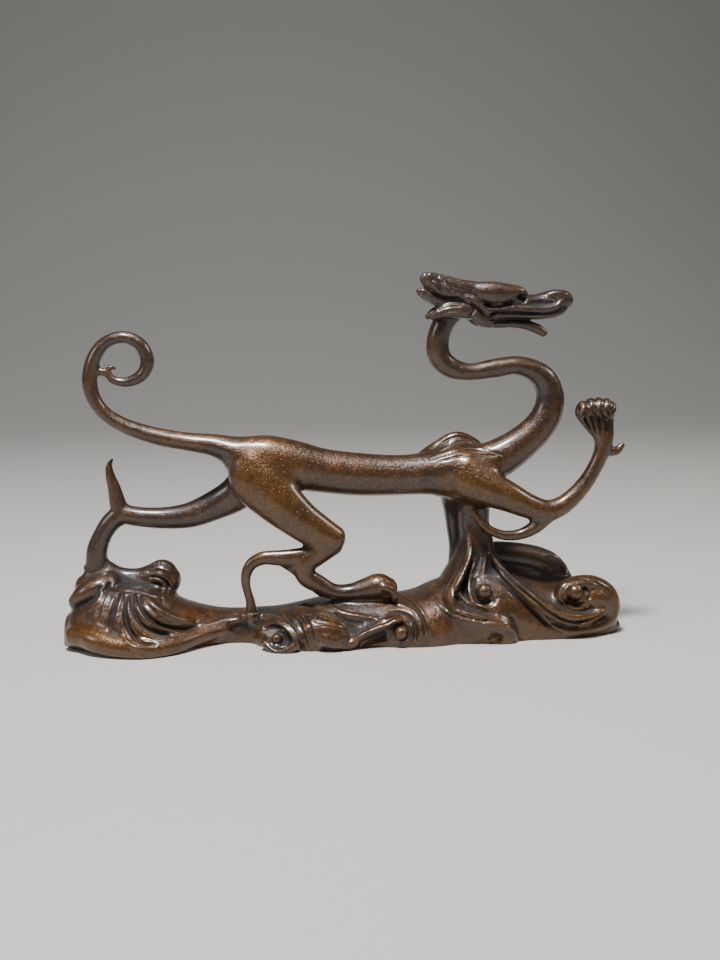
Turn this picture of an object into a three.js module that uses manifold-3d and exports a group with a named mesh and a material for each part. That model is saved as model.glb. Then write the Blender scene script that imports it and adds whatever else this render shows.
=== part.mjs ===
// A small bronze dragon striding over a base of curling waves, cast as one piece.
// Units are millimetres. +X is the way the dragon walks, +Z is up, and the -Y side
// is the side that the casting is meant to be seen from.
import * as THREE from "three";
import { mergeVertices } from "three/addons/utils/BufferGeometryUtils.js";
import Module from "manifold-3d";

const wasm = await Module();
wasm.setup();

// Driving dimensions.
const NEAR = -5;                 // middle of the limbs on the viewer's side
const FAR = 4;                   // middle of the limbs on the other side
const SPINE = 41;                // height of the belly's middle line
const BROW = 86;                 // height of the brow ridges
const TOE_RADIUS = 1.45;         // a toe of a standing paw
const FINGER_RADIUS = 1.15;      // a finger of the raised paw
const BASE_ROUNDING = 2.5;       // 2 is a round mound, more is a squarer one
const GROOVE = 0.8;              // radius of the flutes cut into the waves
const BLUNT = 0.25;              // how far the waves' ends bulge, 1 being a round end
const BRONZE = { color: 0x5a3a24, metalness: 0.85, roughness: 0.38 };

const ACROSS = new THREE.Vector3(0, 1, 0);
const ALONG = new THREE.Vector3(1, 0, 0);

// A three.js geometry as a solid that can be joined and cut.
function solidOf(geometry) {
  geometry.deleteAttribute("normal");
  geometry.deleteAttribute("uv");
  const merged = mergeVertices(geometry);
  return new wasm.Manifold(new wasm.Mesh({
    numProp: 3,
    vertProperties: new Float32Array(merged.attributes.position.array),
    triVerts: new Uint32Array(merged.index.array),
  }));
}

// Superellipse arm: the sine or cosine of a ring's angle, squared off by power.
function arm(value, power) {
  return Math.sign(value) * Math.abs(value) ** (2 / power);
}

// A round-ended limb along a smooth line. Each station is [x, y, z, high, wide]: high
// is the half height in the plane of the bend, wide is the half width across it, and
// wide is the same as high where it is left out. The limb is a sphere whose rows of
// vertices are laid one after another along the line, with caps of them in each end.
// blunt is how far an end bulges, 1 being a round one.
function limb(stations, options = {}) {
  const { sides = 8, steps = 2, power = 2, across = ACROSS, caps = 2, blunt = 1 } = options;
  const line = new THREE.CatmullRomCurve3(
    stations.map(([x, y, z]) => new THREE.Vector3(x, y, z)));
  const girth = new THREE.CatmullRomCurve3(
    stations.map(([, , , high, wide = high]) => new THREE.Vector3(high, wide, 0)));
  girth.curveType = "catmullrom";
  const spans = (stations.length - 1) * steps;
  const rows = spans + 2 * caps;
  const shape = new THREE.SphereGeometry(1, sides, rows);
  const position = shape.attributes.position;
  const side = new THREE.Vector3();
  const up = new THREE.Vector3();
  for (let row = 0; row <= rows; row++) {
    const before = Math.max(caps - row, 0) / caps;
    const after = Math.max(row - (rows - caps), 0) / caps;
    const place = THREE.MathUtils.clamp((row - caps) / spans, 0, 1);
    const cap = (after - before) * Math.PI / 2;
    const centre = line.getPoint(place);
    const heading = line.getTangent(place);
    const { x: high, y: wide } = girth.getPoint(place);
    side.copy(across).addScaledVector(heading, -across.dot(heading)).normalize();
    up.crossVectors(heading, side);
    centre.addScaledVector(heading, Math.sin(cap) * Math.min(high, wide) * blunt);
    const shrink = row === 0 || row === rows ? 0 : Math.cos(cap);
    for (let column = 0; column <= sides; column++) {
      const angle = (column % sides) / sides * 2 * Math.PI;
      const reach = -arm(Math.cos(angle), power) * wide * shrink;
      const rise = arm(Math.sin(angle), power) * high * shrink;
      const point = centre.clone().addScaledVector(side, reach).addScaledVector(up, rise);
      position.setXYZ(row * (sides + 1) + column, point.x, point.y, point.z);
    }
  }
  return solidOf(shape);
}

// A limb whose stations [x, z, high, wide] all lie at one depth y.
function limbAt(y, stations, options) {
  return limb(stations.map(([x, z, high, wide]) => [x, y, z, high, wide]), options);
}

// The same limb on both sides of the head.
function pair(stations, options) {
  const other = stations.map(([x, y, z, high, wide]) => [x, -y, z, high, wide]);
  return [limb(stations, options), limb(other, options)];
}

function ball(x, y, z, radius, sides = 8) {
  const shape = new THREE.SphereGeometry(radius, sides, Math.round(sides * 0.75));
  return solidOf(shape.translate(x, y, z));
}

function joined(solids) {
  return solids.reduce((whole, solid) => whole.add(solid));
}

// ---- The dragon ----

function body() {
  return [
    limb([
      [-26, 0, SPINE + 5.3, 4.6, 4],
      [-20, 0, SPINE + 4.1, 6.2, 5],
      [-13, 0, SPINE + 2.8, 6.2, 5.2],
      [-5.5, 0, SPINE + 1.2, 5.6, 4.9],
      [4.5, 0, SPINE, 5.4, 4.7],
      [14.5, 0, SPINE - 0.3, 5.1, 4.7],
      [22, 0, SPINE, 5.5, 5],
      [28.5, 0, SPINE, 6.8, 5.6],
      [34.5, 0, SPINE + 0.8, 6, 5.2],
    ], { sides: 12, steps: 1 }),
    limb([
      [24.5, FAR - 0.5, SPINE + 5.5, 3, 1.8],
      [29, FAR - 0.5, SPINE + 5.6, 4.6, 2.2],
      [33.5, FAR - 0.5, SPINE + 4, 4.2, 2],
    ], { steps: 1 }),
  ];
}

// The tail sweeps back and up, and its end curls in until it touches itself.
function tail() {
  return [
    limbAt(0, [
      [-22, 46.5, 4.4],
      [-26.5, 47.2, 3.9],
      [-31.5, 48.8, 2.9],
      [-38, 49.8, 2.35],
      [-44.5, 51, 2.25],
      [-49.5, 52.5, 2.05],
      [-54, 54.4, 1.9],
      [-58, 57.3, 1.75],
      [-60.4, 61.4, 1.8],
      [-60.8, 66.2, 1.85],
      [-59.2, 71.2, 1.7],
      [-56.8, 73.9, 1.55],
      [-52.8, 75.2, 1.55],
      [-48.8, 73.5, 1.65],
      [-47.1, 69.4, 1.7],
      [-48.5, 66.1, 1.55],
      [-52.4, 64.4, 1.3],
      [-55.6, 65.2, 1.05],
      [-56.6, 67, 0.85],
      [-55.7, 68.1, 0.6],
      [-54.7, 67.6, 0.45],
    ], { sides: 6, power: 1.7 }),
    ball(-57.9, 0, 66.9, 1.1, 6),
  ];
}

function neck() {
  return [
    limbAt(0, [
      [28, SPINE + 0.5, 5.4, 4.8],
      [35, 42.6, 5.6, 4.8],
      [41, 45.4, 4.9, 4.3],
      [45.4, 48.4, 4.4, 4],
      [49.4, 52.1, 4.05, 3.7],
      [51.6, 55.6, 3.85, 3.5],
      [52.3, 60.2, 3.5, 3.3],
      [50.2, 64.9, 3.1, 3],
      [44.2, 67.8, 2.4, 2.6],
      [38.3, 67.2, 2.45, 2.5],
      [31.7, 66.3, 2.2, 2.4],
      [27, 67.3, 2.65, 2.5],
      [24.2, 69.8, 2.85, 2.6],
      [23.5, 73.3, 2.8, 2.7],
      [24.8, 78, 2.7, 2.8],
      [28.5, 82.3, 2.6, 2.8],
    ], { sides: 8 }),
  ];
}

function skull() {
  return [
    limbAt(0, [
      [27.5, 82.2, 2.8, 2.8],
      [31, 83.8, 3.6, 3.6],
      [35, 84.2, 3.9, 4],
      [39, 84, 3.6, 4],
      [43, 83.4, 2.6, 3.4],
      [46.8, 83.1, 2.2, 2.8],
      [50.3, 83.5, 2.45, 2.6],
      [53, 83.9, 2.6, 2.6],
      [54.9, 84, 2.3, 2.4],
    ], { sides: 10, steps: 1 }),
    ...pair([
      [30.4, -2.2, BROW, 2, 2],
      [33.4, -2.6, BROW - 0.1, 2.5, 2.3],
      [37, -2.8, BROW - 0.4, 2.8, 2.5],
      [40, -2.6, BROW - 0.4, 2.4, 2.3],
      [42.4, -2.3, BROW, 1.6, 1.9],
      [44.2, -2.1, BROW - 0.1, 0.9, 1.4],
      [44.8, -2, BROW - 0.5, 0.6, 1],
    ], { sides: 7, steps: 1 }),
    limbAt(0, [
      [34.6, 80.3, 1.7, 3.9],
      [39, 80.5, 1.4, 3.6],
      [46, 80.5, 1.2, 2.8],
      [53.2, 81, 1.1, 2.1],
    ], { sides: 8, steps: 1, caps: 1 }),
  ];
}

// Ears swept back as leaves, the locks below them, the cheek flaps and the beard.
function ruff() {
  return [
    ...pair([
      [32, -2.8, 86.4, 2.1, 1.5],
      [27.6, -3.1, 86.5, 2.6, 1.5],
      [24.4, -3.3, 87.3, 2.7, 1.4],
      [22, -3.4, 88.4, 2.2, 1.2],
      [20.6, -3.4, 89.4, 1.5, 1],
    ], { sides: 7, steps: 1 }),
    ...pair([
      [29.4, -1.9, 84, 1.6, 1.6],
      [26.2, -2.2, 83.7, 1.35, 1.5],
      [23.4, -2.4, 83.9, 1.3, 1.3],
      [21, -2.4, 84.9, 1.2, 1.2],
      [19.4, -2.4, 86, 0.95, 1],
    ], { sides: 5, steps: 1, caps: 1 }),
    ...pair([
      [32, -2.6, 80.8, 1.6, 1.5],
      [28.6, -3.2, 81.4, 1.9, 1.6],
      [25.4, -3.3, 81.4, 1.8, 1.5],
      [22.8, -3.2, 80.6, 1.25, 1.2],
      [21.6, -3.1, 79.9, 0.8, 0.9],
    ], { sides: 6, steps: 1, caps: 1 }),
    ...pair([
      [28.8, -3.4, 84.6, 1, 1],
      [31.4, -3.8, 82.6, 1.8, 1],
      [34, -3.8, 79.8, 1.8, 1],
      [36, -3.1, 78.3, 1.1, 0.9],
    ], { sides: 6, steps: 1, caps: 1 }),
    limb([
      [34.6, -1.2, 78.4, 1.3, 1.8],
      [38.2, -1.3, 78.2, 1.2, 1.6],
      [42, -1.3, 78.3, 1.15, 1.4],
      [45.6, -1.3, 77.8, 1.25, 1.3],
      [48.6, -1.3, 76.7, 1.25, 1.2],
      [49.8, -1.3, 75.9, 1.05, 1],
    ], { sides: 6, steps: 1, caps: 2 }),
  ];
}

// Toes of a standing paw: each runs forward over the knuckle and bends down.
function toes(x, y, z, count, reach) {
  return Array.from({ length: count }, (_, index) => {
    const toeY = y + (index - (count - 1) / 2) * TOE_RADIUS * 1.6;
    return limb([
      [x - reach, toeY, z + 1.4, TOE_RADIUS],
      [x, toeY, z + 0.8, TOE_RADIUS],
      [x + 1.2, toeY, z - 1.8, TOE_RADIUS * 0.8],
    ], { sides: 6, steps: 1, caps: 1 });
  });
}

function nearHindLeg() {
  return [
    limb([
      [-22.6, -1.2, 44.6, 6, 4.4],
      [-21.2, -2.4, 41, 6.9, 4.4],
      [-16.6, -4, 35.8, 6, 3.9],
      [-11, NEAR, 30.8, 4.9, 3.5],
      [-6.4, NEAR, 27.5, 4.4, 3.3],
      [-3.4, NEAR, 25.4, 3.9, 3.1],
    ], { sides: 10 }),
    limbAt(NEAR, [
      [-3.4, 25, 3.4, 2.9],
      [-7.2, 22, 3, 2.5],
      [-10.2, 19.2, 2.6, 2.2],
      [-9.6, 16.6, 2.5, 2.1],
      [-6.4, 14.4, 2.3, 2],
      [-2.8, 12.5, 2, 2.1],
      [1.3, 12.3, 2.1, 2.3],
      [5, 12.9, 2.7, 2.8],
      [8.6, 13.5, 3.3, 3.2],
      [10.4, 13, 2.9, 2.9],
    ], { steps: 1 }),
    ...toes(11.4, NEAR, 12.4, 3, 2),
    limbAt(NEAR, [
      [-8.6, 21.6, 2.6, 2],
      [-12.8, 21.2, 2.4, 1.8],
      [-17, 21.4, 1.9, 1.6],
      [-20.2, 21.4, 1.7, 1.5],
      [-22.8, 20.2, 1.5, 1.4],
      [-24.2, 18, 1.35, 1.3],
      [-24.5, 15.4, 1.2],
      [-24, 12.8, 1.1],
      [-23.4, 10.4, 1.2],
      [-23.2, 6, 1.7],
    ], { sides: 7, steps: 1, caps: 1 }),
    limbAt(NEAR + 0.4, [
      [-15.4, 20, 1],
      [-12, 17.8, 1.2],
      [-9, 15.2, 1.4],
      [-5.6, 12.6, 1.6],
    ], { sides: 6, steps: 1, caps: 1 }),
  ];
}

function farHindLeg() {
  return [
    limb([
      [-21, 2, 42, 5.6, 3.8],
      [-26.5, 3.2, 36.2, 4.5, 3.6],
      [-31.8, FAR, 33.2, 3.8, 3.2],
      [-38.1, FAR, 30.8, 3.25, 2.9],
      [-44.3, FAR, 30.2, 2.75, 2.6],
      [-50.5, FAR, 30.6, 2.5, 2.4],
      [-54.6, FAR, 31.4, 2.5, 2.4],
    ], { sides: 10, steps: 1 }),
    limbAt(FAR, [
      [-54.5, 31.5, 2.5, 2.3],
      [-57.2, 29.8, 2.45, 2.2],
      [-59.7, 26.2, 2.35, 2.2],
      [-61.2, 22.4, 2.6, 2.3],
      [-61.6, 18.6, 2.7, 2.4],
      [-62.6, 16, 2.3, 2.2],
    ], { steps: 1 }),
    limbAt(FAR, [
      [-64.3, 18, 0.6, 0.8],
      [-61.2, 18.2, 2.2, 2],
      [-55.9, 16, 1.9, 2.2],
      [-51.4, 15.2, 2.3, 2.6],
      [-48.3, 15, 3.6, 3.4],
      [-45.8, 14.8, 4.9, 4.2],
      [-44.8, 14, 4.4, 4],
    ], { sides: 9, steps: 1 }),
    limbAt(FAR - 0.6, [
      [-64, 13.4, 3, 4],
      [-58, 13, 3.4, 4.4],
      [-51, 11.8, 3, 4.6],
      [-45, 9, 2.4, 4.4],
    ], { sides: 7, steps: 1, caps: 1 }),
    limbAt(FAR, [
      [-54.8, 31.2, 2.4, 2.1],
      [-55.7, 33.8, 2.15, 1.9],
      [-56.4, 37.5, 1.7, 1.5],
      [-57.4, 41.3, 1.2, 1.2],
      [-57.5, 43.8, 0.75, 0.8],
      [-56.6, 45.3, 0.35, 0.4],
    ], { sides: 6, steps: 1, caps: 1 }),
  ];
}

// The raised foreleg ends in a fan of five fingers that curl over towards the viewer.
function raisedForeleg() {
  const knuckles = [[58.5, 58.4], [60.5, 59.1], [62.5, 59.2], [64.4, 59], [65.7, 58.2]];
  const fingers = knuckles.map(([x, top]) => limb([
    [x * 0.4 + 64 * 0.6, NEAR + 0.2, 52, FINGER_RADIUS],
    [x, NEAR + 0.2, top - 2, FINGER_RADIUS],
    [x + 0.5, NEAR - 0.6, top, FINGER_RADIUS],
    [x + 0.3, NEAR - 2.2, top - 0.9, FINGER_RADIUS * 0.9],
    [x - 0.3, NEAR - 2.7, top - 2.6, FINGER_RADIUS * 0.65],
  ], { sides: 5, steps: 1, across: ALONG, caps: 1 }));
  return [
    limb([
      [29.5, -2.6, 41.2, 6, 3.6],
      [34, -4.2, 38.6, 5, 3.6],
      [40.5, NEAR - 0.5, 35.8, 3.9, 3.3],
      [46, NEAR - 0.5, 33.2, 3.15, 2.9],
      [50.4, NEAR - 0.5, 31.9, 2.85, 2.6],
      [53.9, NEAR - 0.5, 32.8, 2.5, 2.3],
      [57.3, NEAR - 0.3, 35.2, 2.25, 2.1],
      [60.5, NEAR, 38.7, 2, 2],
      [62.9, NEAR, 42.7, 1.9, 1.9],
      [64.6, NEAR, 47, 2.05, 1.9],
      [64.8, NEAR, 50, 2.6, 1.9],
      [64, NEAR, 53, 3.4, 1.7],
      [63.2, NEAR + 0.2, 56.4, 4.2, 1.4],
    ], { steps: 1 }),
    ...fingers,
    limbAt(NEAR, [
      [65.6, 46.4, 1.2, 1.1],
      [68.4, 46.8, 1, 1],
      [70.2, 48.6, 0.5, 0.6],
    ], { sides: 5, steps: 1, caps: 1 }),
    limb([
      [51, NEAR - 0.7, 30.9, 2.1, 1.9],
      [47.7, NEAR - 1, 28, 1.75],
      [43.9, NEAR - 1, 26.2, 1.4],
      [39.4, NEAR - 1, 26.1, 1.25],
      [35.8, NEAR - 0.6, 27.7, 1.1],
      [33.5, NEAR, 30, 0.9],
      [32.4, NEAR + 0.4, 31.8, 0.7],
    ], { sides: 6, caps: 1 }),
  ];
}

function farForeleg() {
  return [
    limb([
      [28.5, 2, 36, 4, 3],
      [28.7, 3, 31.5, 2.7, 2.4],
      [29, 3.2, 27, 2.2],
      [29.6, 3.2, 21.5, 2],
      [30, 3.4, 15.5, 2.6],
    ], { steps: 1, caps: 1 }),
    limbAt(FAR + 2, [
      [34, 17.6, 4, 3.4],
      [41, 18.2, 3.6, 3.4],
      [47, 17.6, 3.6],
      [52.6, 16, 3.8],
      [56.4, 13.4, 3.6],
      [58.8, 10.6, 2.8, 3],
    ], { steps: 1 }),
    limbAt(FAR, [[36, 12, 5], [46, 11.4, 4.6, 5], [55, 9.6, 3.6, 4.4]],
      { steps: 1, caps: 1 }),
  ];
}

// ---- The waves ----

// The base's body runs along X. Each station is [x, top, front, back]: the height of
// its crest and the two edges of its underside.
const BASE_LINE = [
  [-68.7, 6.8, -3, 4.6],
  [-66.8, 8.8, -5.4, 7],
  [-61, 12.8, -8.4, 9],
  [-55.5, 14.6, -11.8, 10],
  [-49, 13.8, -13.6, 10],
  [-43, 12.2, -11, 9.5],
  [-38, 9.4, -8, 9],
  [-32, 7.4, -5.6, 8.4],
  [-26.5, 6.8, -5, 8.4],
  [-21, 7, -6.5, 9],
  [-15, 7.8, -11.5, 10],
  [-8, 9.2, -13.8, 10.3],
  [0, 10.4, -12.5, 10],
  [8, 10.6, -12.2, 10.4],
  [14, 10.2, -13.2, 11],
  [20, 11.2, -13.4, 11.6],
  [26, 13.6, -12, 12],
  [33, 16.6, -12.2, 12.4],
  [39, 16.6, -12.2, 12.6],
  [45, 15, -10.6, 12],
  [52, 12.8, -10.6, 11.4],
  [58, 12.6, -9.9, 10.6],
  [64, 12.4, -8.6, 8.8],
  [68.4, 10, -6.6, 6.6],
  [70.2, 6.6, -4.6, 4.6],
];

// Depth of the base's front surface at a place along it and a height.
function faceY(x, z) {
  const last = BASE_LINE.length - 1;
  const next = Math.max(BASE_LINE.findIndex(([stationX]) => stationX > x), 1);
  const after = x >= BASE_LINE[last][0] ? last : next;
  const [x0, ...low] = BASE_LINE[after - 1];
  const [x1, ...high] = BASE_LINE[after];
  const share = THREE.MathUtils.clamp((x - x0) / (x1 - x0), 0, 1);
  const [top, front, back] = low.map((value, i) => THREE.MathUtils.lerp(value, high[i], share));
  const drop = THREE.MathUtils.clamp(z / top, 0, 1) ** BASE_ROUNDING;
  return (front + back) / 2 - (back - front) / 2 * (1 - drop) ** (1 / BASE_ROUNDING);
}

// A rib laid on the front surface, with stations [x, z, radius] and standing proud.
function rib(stations, proud = 0.2, options = {}) {
  return limb(stations.map(([x, z, radius]) => [x, faceY(x, z) - proud, z, radius]),
    { sides: 5, steps: 1, caps: 1, ...options });
}

function baseBody() {
  const stations = BASE_LINE.map(([x, top, front, back]) =>
    [x, (front + back) / 2, 0, top, (back - front) / 2]);
  return [limb(stations, { sides: 12, steps: 1, power: BASE_ROUNDING, blunt: BLUNT })];
}

// The pillar of spray that carries the chest, with its sharp rear edge and its folds.
function pillar() {
  return [
    limb([
      [33.4, 0, 36, 4.2, 3.4],
      [33.4, 0, 30, 3.9, 3],
      [33.4, 0, 24, 3.8, 3.4],
      [32.8, 0, 19, 4.8, 4.8],
      [32.5, 0, 14, 7.4, 7],
      [32.5, 0, 8, 11, 9.5],
    ], { sides: 12, steps: 1, power: 2.4, caps: 1 }),
    limb([
      [30.4, -1.6, 31, 0.8, 1.2],
      [29.8, -2.2, 25, 0.9, 1.4],
      [28.6, -4, 19, 1.1, 1.8],
      [25.6, -7.4, 13, 1.2, 1.8],
      [24.6, -10, 9.8, 1.1, 1.6],
      [27.6, -11.8, 7.2, 1, 1.6],
      [33, -12.4, 5.6, 1, 1.6],
    ], { sides: 6, steps: 1, caps: 1 }),
    limb([
      [37, -1.4, 27, 0.8, 1.2],
      [37.6, -2.8, 20.6, 0.9, 1.6],
      [40.6, -5.6, 15.6, 1.1, 1.8],
      [45.6, -8.4, 11.2, 1.3, 1.8],
      [50.3, -9.9, 7.8, 1.4, 1.7],
      [55, -10.6, 5.6, 1.4, 1.6],
      [60, -10.2, 5, 1.3, 1.5],
      [64.5, -9, 6.4, 1.1, 1.4],
    ], { sides: 6, steps: 1, caps: 1 }),
  ];
}

// The rolls, ridges and beads of the waves.
function crests() {
  return [
    // a lobe and a plain band at the rear, with petals that fan out over the band
    limb([[-66.2, 0.4, 11.2, 2.6, 3], [-64.6, -1, 13, 3, 3.4], [-61.8, -1.4, 14.8, 2.4, 3]],
      { steps: 1, caps: 1 }),
    rib([[-65.6, 3.4, 2.8], [-60.6, 3.3, 3.1], [-55.6, 2.4, 2.8], [-49, 1.8, 2.6],
      [-42.6, 1.9, 2.4], [-36, 2.8, 1.9], [-29.5, 3.6, 1.4]], 0, { sides: 6 }),
    rib([[-59.6, 12, 0.7], [-58.5, 9.6, 0.9], [-56.4, 5.8, 0.7]], 0.1),
    rib([[-52.8, 12.8, 0.7], [-50.4, 8.9, 0.9], [-45, 6.1, 0.7]], 0.1),
    rib([[-51.4, 13, 0.8], [-47.4, 9.7, 1.3], [-41.6, 8, 1.2], [-36.4, 5, 0.8]], 0),
    // a low ridge that runs forward and rolls under round a bead
    limb([
      [-39, -8.2, 3.4, 0.6, 0.8],
      [-32.2, -4.9, 4.9, 0.9, 1.1],
      [-26.4, -3.7, 5.5, 1, 1.2],
      [-22, -4.5, 6.1, 1, 1.3],
      [-18.4, -6.8, 6.4, 1.05, 1.4],
      [-15.2, -10, 5.6, 1.1, 1.5],
      [-13.3, -12, 3.6, 1.1, 1.5],
      [-13, -12.9, 1.2, 1.1, 1.4],
      [-14.8, -13, -0.6, 1, 1.3],
      [-17.4, -12.2, -0.4, 0.9, 1.1],
      [-19, -11.2, 1.2, 0.7, 0.8],
    ], { sides: 5, steps: 1, caps: 1 }),
    ball(-16.6, -8.6, 2.4, 3, 6),
    ball(-16.8, -11.2, 2.8, 1.35, 6),
    // a bulge, and a crest that rises and rolls round its bead
    rib([[-7.4, 4.6, 2.8], [-4, 3, 3.2], [0.6, 1, 2]], -0.4, { sides: 6 }),
    rib([[-0.5, 0.6, 1.3], [4.3, 3.6, 1.3], [8.5, 5.4, 1.4], [12, 6.8, 1.1], [14.6, 5.4, 0.9],
      [14.4, 2.4, 0.8]], 0.3),
    ball(12.7, -13.4, 3.9, 1.6, 6),
    rib([[12, 10.4, 0.8], [16.6, 8.8, 1.1], [19, 5.8, 1.1], [19.8, 1.6, 0.9]], 0),
    // the broad crest below the pillar, and its bead
    rib([[27, 7.6, 1.8], [31, 6.6, 2.2], [36, 6, 2.4], [39.6, 4.4, 2.1], [39.8, 2, 1.8]], -0.6,
      { sides: 6 }),
    ball(34.2, -9.8, 12.8, 1.75, 7),
    // the last roll, round its bead and down to the table
    limb([
      [54.4, -7.8, 9.8, 1.4, 2],
      [55.2, -6.8, 12, 1.6, 2.4],
      [58.6, -5.6, 13.2, 1.6, 3],
      [63.4, -5.2, 13, 1.8, 3.2],
      [67.2, -5, 10.6, 2, 3.2],
      [68.4, -5.2, 7.2, 2.2, 3],
      [67.2, -5.8, 3.8, 2.2, 2.8],
      [62.4, -7.8, 2.2, 1.8, 2.4],
      [56, -9.2, 2, 1.4, 2],
      [51.6, -9.8, 3.2, 1, 1.6],
    ], { sides: 7, steps: 1, caps: 1 }),
    ball(57.6, -8.2, 11.6, 2.4, 8),
    limb([[59.4, -7.4, 8.4, 2.2, 2], [63.4, -6.8, 9, 2.8, 2.4], [65.8, -6.2, 7, 2.4, 2.2]],
      { sides: 6, steps: 1, caps: 1 }),
  ];
}

// Flutes cut between the ribs, with stations [x, z, share of the groove's radius] on
// the front surface.
function flutes() {
  const lines = [
    [[-66.6, 9, 0.8], [-62.6, 10.4, 1.3], [-60, 13, 0.8]],
    [[-54.4, 12.6, 0.6], [-52.2, 6.8, 1.5], [-46.3, 4.4, 1.1]],
    [[-51.8, 12.8, 0.6], [-48.4, 8.5, 1.3], [-38.4, 4.5, 1]],
    [[-12.8, 7.6, 0.6], [-11.4, 4.2, 1.3], [-10.8, 0.6, 1.2]],
    [[-11, 9, 0.6], [-5, 8.8, 1.2], [3, 6.2, 0.8]],
    [[26.8, 14.6, 0.7], [28.6, 11, 1.8], [35.6, 8.6, 1.2]],
    [[40.6, 7, 0.8], [42.4, 3.6, 1.2], [43.4, 0.4, 1.3]],
    [[46, 12.6, 0.6], [52, 8.4, 0.9], [57.6, 6.6, 1]],
  ];
  const grooves = lines.map((line) => line.map(([x, z, share]) => [x, z, share * GROOVE]));
  return grooves.map((line) => rib(line, 0.1));
}

// Everything is cut off flat where the casting stands.
function ground() {
  const depth = 60;
  return solidOf(new THREE.BoxGeometry(300, 300, depth).translate(0, 0, -depth / 2));
}

const waves = joined([...baseBody(), ...crests(), ...pillar()]).subtract(joined(flutes()));
const dragon = joined([
  ...body(), ...tail(), ...neck(), ...skull(), ...ruff(),
  ...nearHindLeg(), ...farHindLeg(), ...raisedForeleg(), ...farForeleg(),
]);
const casting = waves.add(dragon).subtract(ground());

const { vertProperties, triVerts } = casting.getMesh();
const geometry = new THREE.BufferGeometry();
geometry.setAttribute("position", new THREE.BufferAttribute(vertProperties, 3));
geometry.setIndex(new THREE.BufferAttribute(triVerts, 1));
geometry.computeVertexNormals();

// The origin is on the ground, under the middle of the casting.
geometry.computeBoundingBox();
const middle = geometry.boundingBox.getCenter(new THREE.Vector3());
geometry.translate(-middle.x, -middle.y, 0);

const mesh = new THREE.Mesh(geometry, new THREE.MeshStandardMaterial(BRONZE));
mesh.name = "dragon_on_waves";

const sculpture = new THREE.Group();
sculpture.add(mesh);

export default sculpture;
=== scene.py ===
import math

import bmesh
import bpy
import numpy as np
from mathutils import Matrix, Vector
from mathutils.bvhtree import BVHTree


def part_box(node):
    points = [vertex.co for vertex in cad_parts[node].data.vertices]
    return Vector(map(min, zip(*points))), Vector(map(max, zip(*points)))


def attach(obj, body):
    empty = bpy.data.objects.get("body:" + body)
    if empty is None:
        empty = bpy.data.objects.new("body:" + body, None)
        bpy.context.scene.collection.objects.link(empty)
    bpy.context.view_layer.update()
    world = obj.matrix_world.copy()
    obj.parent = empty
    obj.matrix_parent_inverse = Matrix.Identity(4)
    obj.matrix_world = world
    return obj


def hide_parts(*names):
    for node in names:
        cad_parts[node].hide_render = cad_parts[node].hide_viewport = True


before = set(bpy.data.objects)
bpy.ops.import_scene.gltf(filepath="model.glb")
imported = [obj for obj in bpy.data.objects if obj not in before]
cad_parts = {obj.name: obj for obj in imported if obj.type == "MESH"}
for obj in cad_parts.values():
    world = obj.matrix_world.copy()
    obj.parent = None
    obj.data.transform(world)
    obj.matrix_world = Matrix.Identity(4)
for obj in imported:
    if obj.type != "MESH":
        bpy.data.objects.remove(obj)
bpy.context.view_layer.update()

# ---------------------------------------------------------------------------
# Measures. The dragon is modelled in millimetres in the caster's own measures,
# whose zero lies REAR_END from the rear end of the casting and FRONT_EDGE from
# its front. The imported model's box puts it in its place.
# ---------------------------------------------------------------------------
CASTING = "dragon_on_waves"
MM = 0.001
REAR_END = -69.65
FRONT_EDGE = -16.16
low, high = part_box(CASTING)
PLACE = np.array([low[0] - REAR_END * MM, low[1] - FRONT_EDGE * MM, low[2]])

NEAR = -5.0          # middle of the limbs on the viewer's side
FAR = 4.0            # middle of the limbs on the other side
SPINE = 41.0         # height of the belly's middle line
BASE_ROUNDING = 2.5  # 2 is a round mound, more is a squarer one
CUT_BELOW = -2.5     # the wax reaches down to here before its underside is cut off at 0

ROUGH_VOXEL = 0.42                    # grain of the wax while the limbs are run together
VOXEL = 0.25   # grain of the wax when it is carved
MOST_TRIANGLES = 196_000

# The patina's colours, the places where hands have rubbed it, and the places on the far limbs
# that are darkened with painted shade: where each is, how far it reaches along and up, and how
# strongly it has changed.
DARK_BROWN = (0.016, 0.0075, 0.004, 1)
MID_BROWN = (0.054, 0.021, 0.005, 1)
RED_BROWN = (0.068, 0.021, 0.005, 1)
GOLD_BROWN = (0.106, 0.045, 0.006, 1)
ORANGE_BROWN = (0.150, 0.052, 0.010, 1)
# smoke on the neck and head, and painted shade on the far side and the far limbs
SMOKE_AND_SHADE_BROWN = (0.030, 0.019, 0.016, 1)
# near-black for the hollows: dirt in the patina, and painted shade
DIRT_AND_SHADE = (0.006, 0.0045, 0.0035, 1)
SPECKLE = (0.25, 0.22, 0.2, 1)
PAPER = (0.42, 0.40, 0.37, 1)
RUBBED = [
    ((-20, 38), (9, 12), 1.0),
    ((-8, 26), (7, 9), 0.7),
    ((-62, 3), (16, 4), 1.0),
    ((0, 42), (40, 4), 0.35),
    ((30, 40), (8, 9), 0.6),
    ((45, 34), (12, 8), 0.5),
    ((60, 5), (14, 8), 0.9),
    ((36, 4), (6, 6), 0.5),
    ((-44, 30), (14, 6), 0.15),
]
# painted shade: the far hind paw, the far fore paw and the far thigh, darkened as if in shadow
FAR_SHADE_SPOTS = [
    ((-52, 17), (11, 6), 1.0),
    ((46, 16), (12, 4), 1.0),
    ((-43, 33), (12, 8), 0.8),
]
JOINTS = [((-19, 42), (12, 11), 1.0), ((33, 41), (9, 9), 1.0)]   # hip and shoulder

ACROSS = np.array([0.0, 1.0, 0.0])
ALONG = np.array([1.0, 0.0, 0.0])


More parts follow.
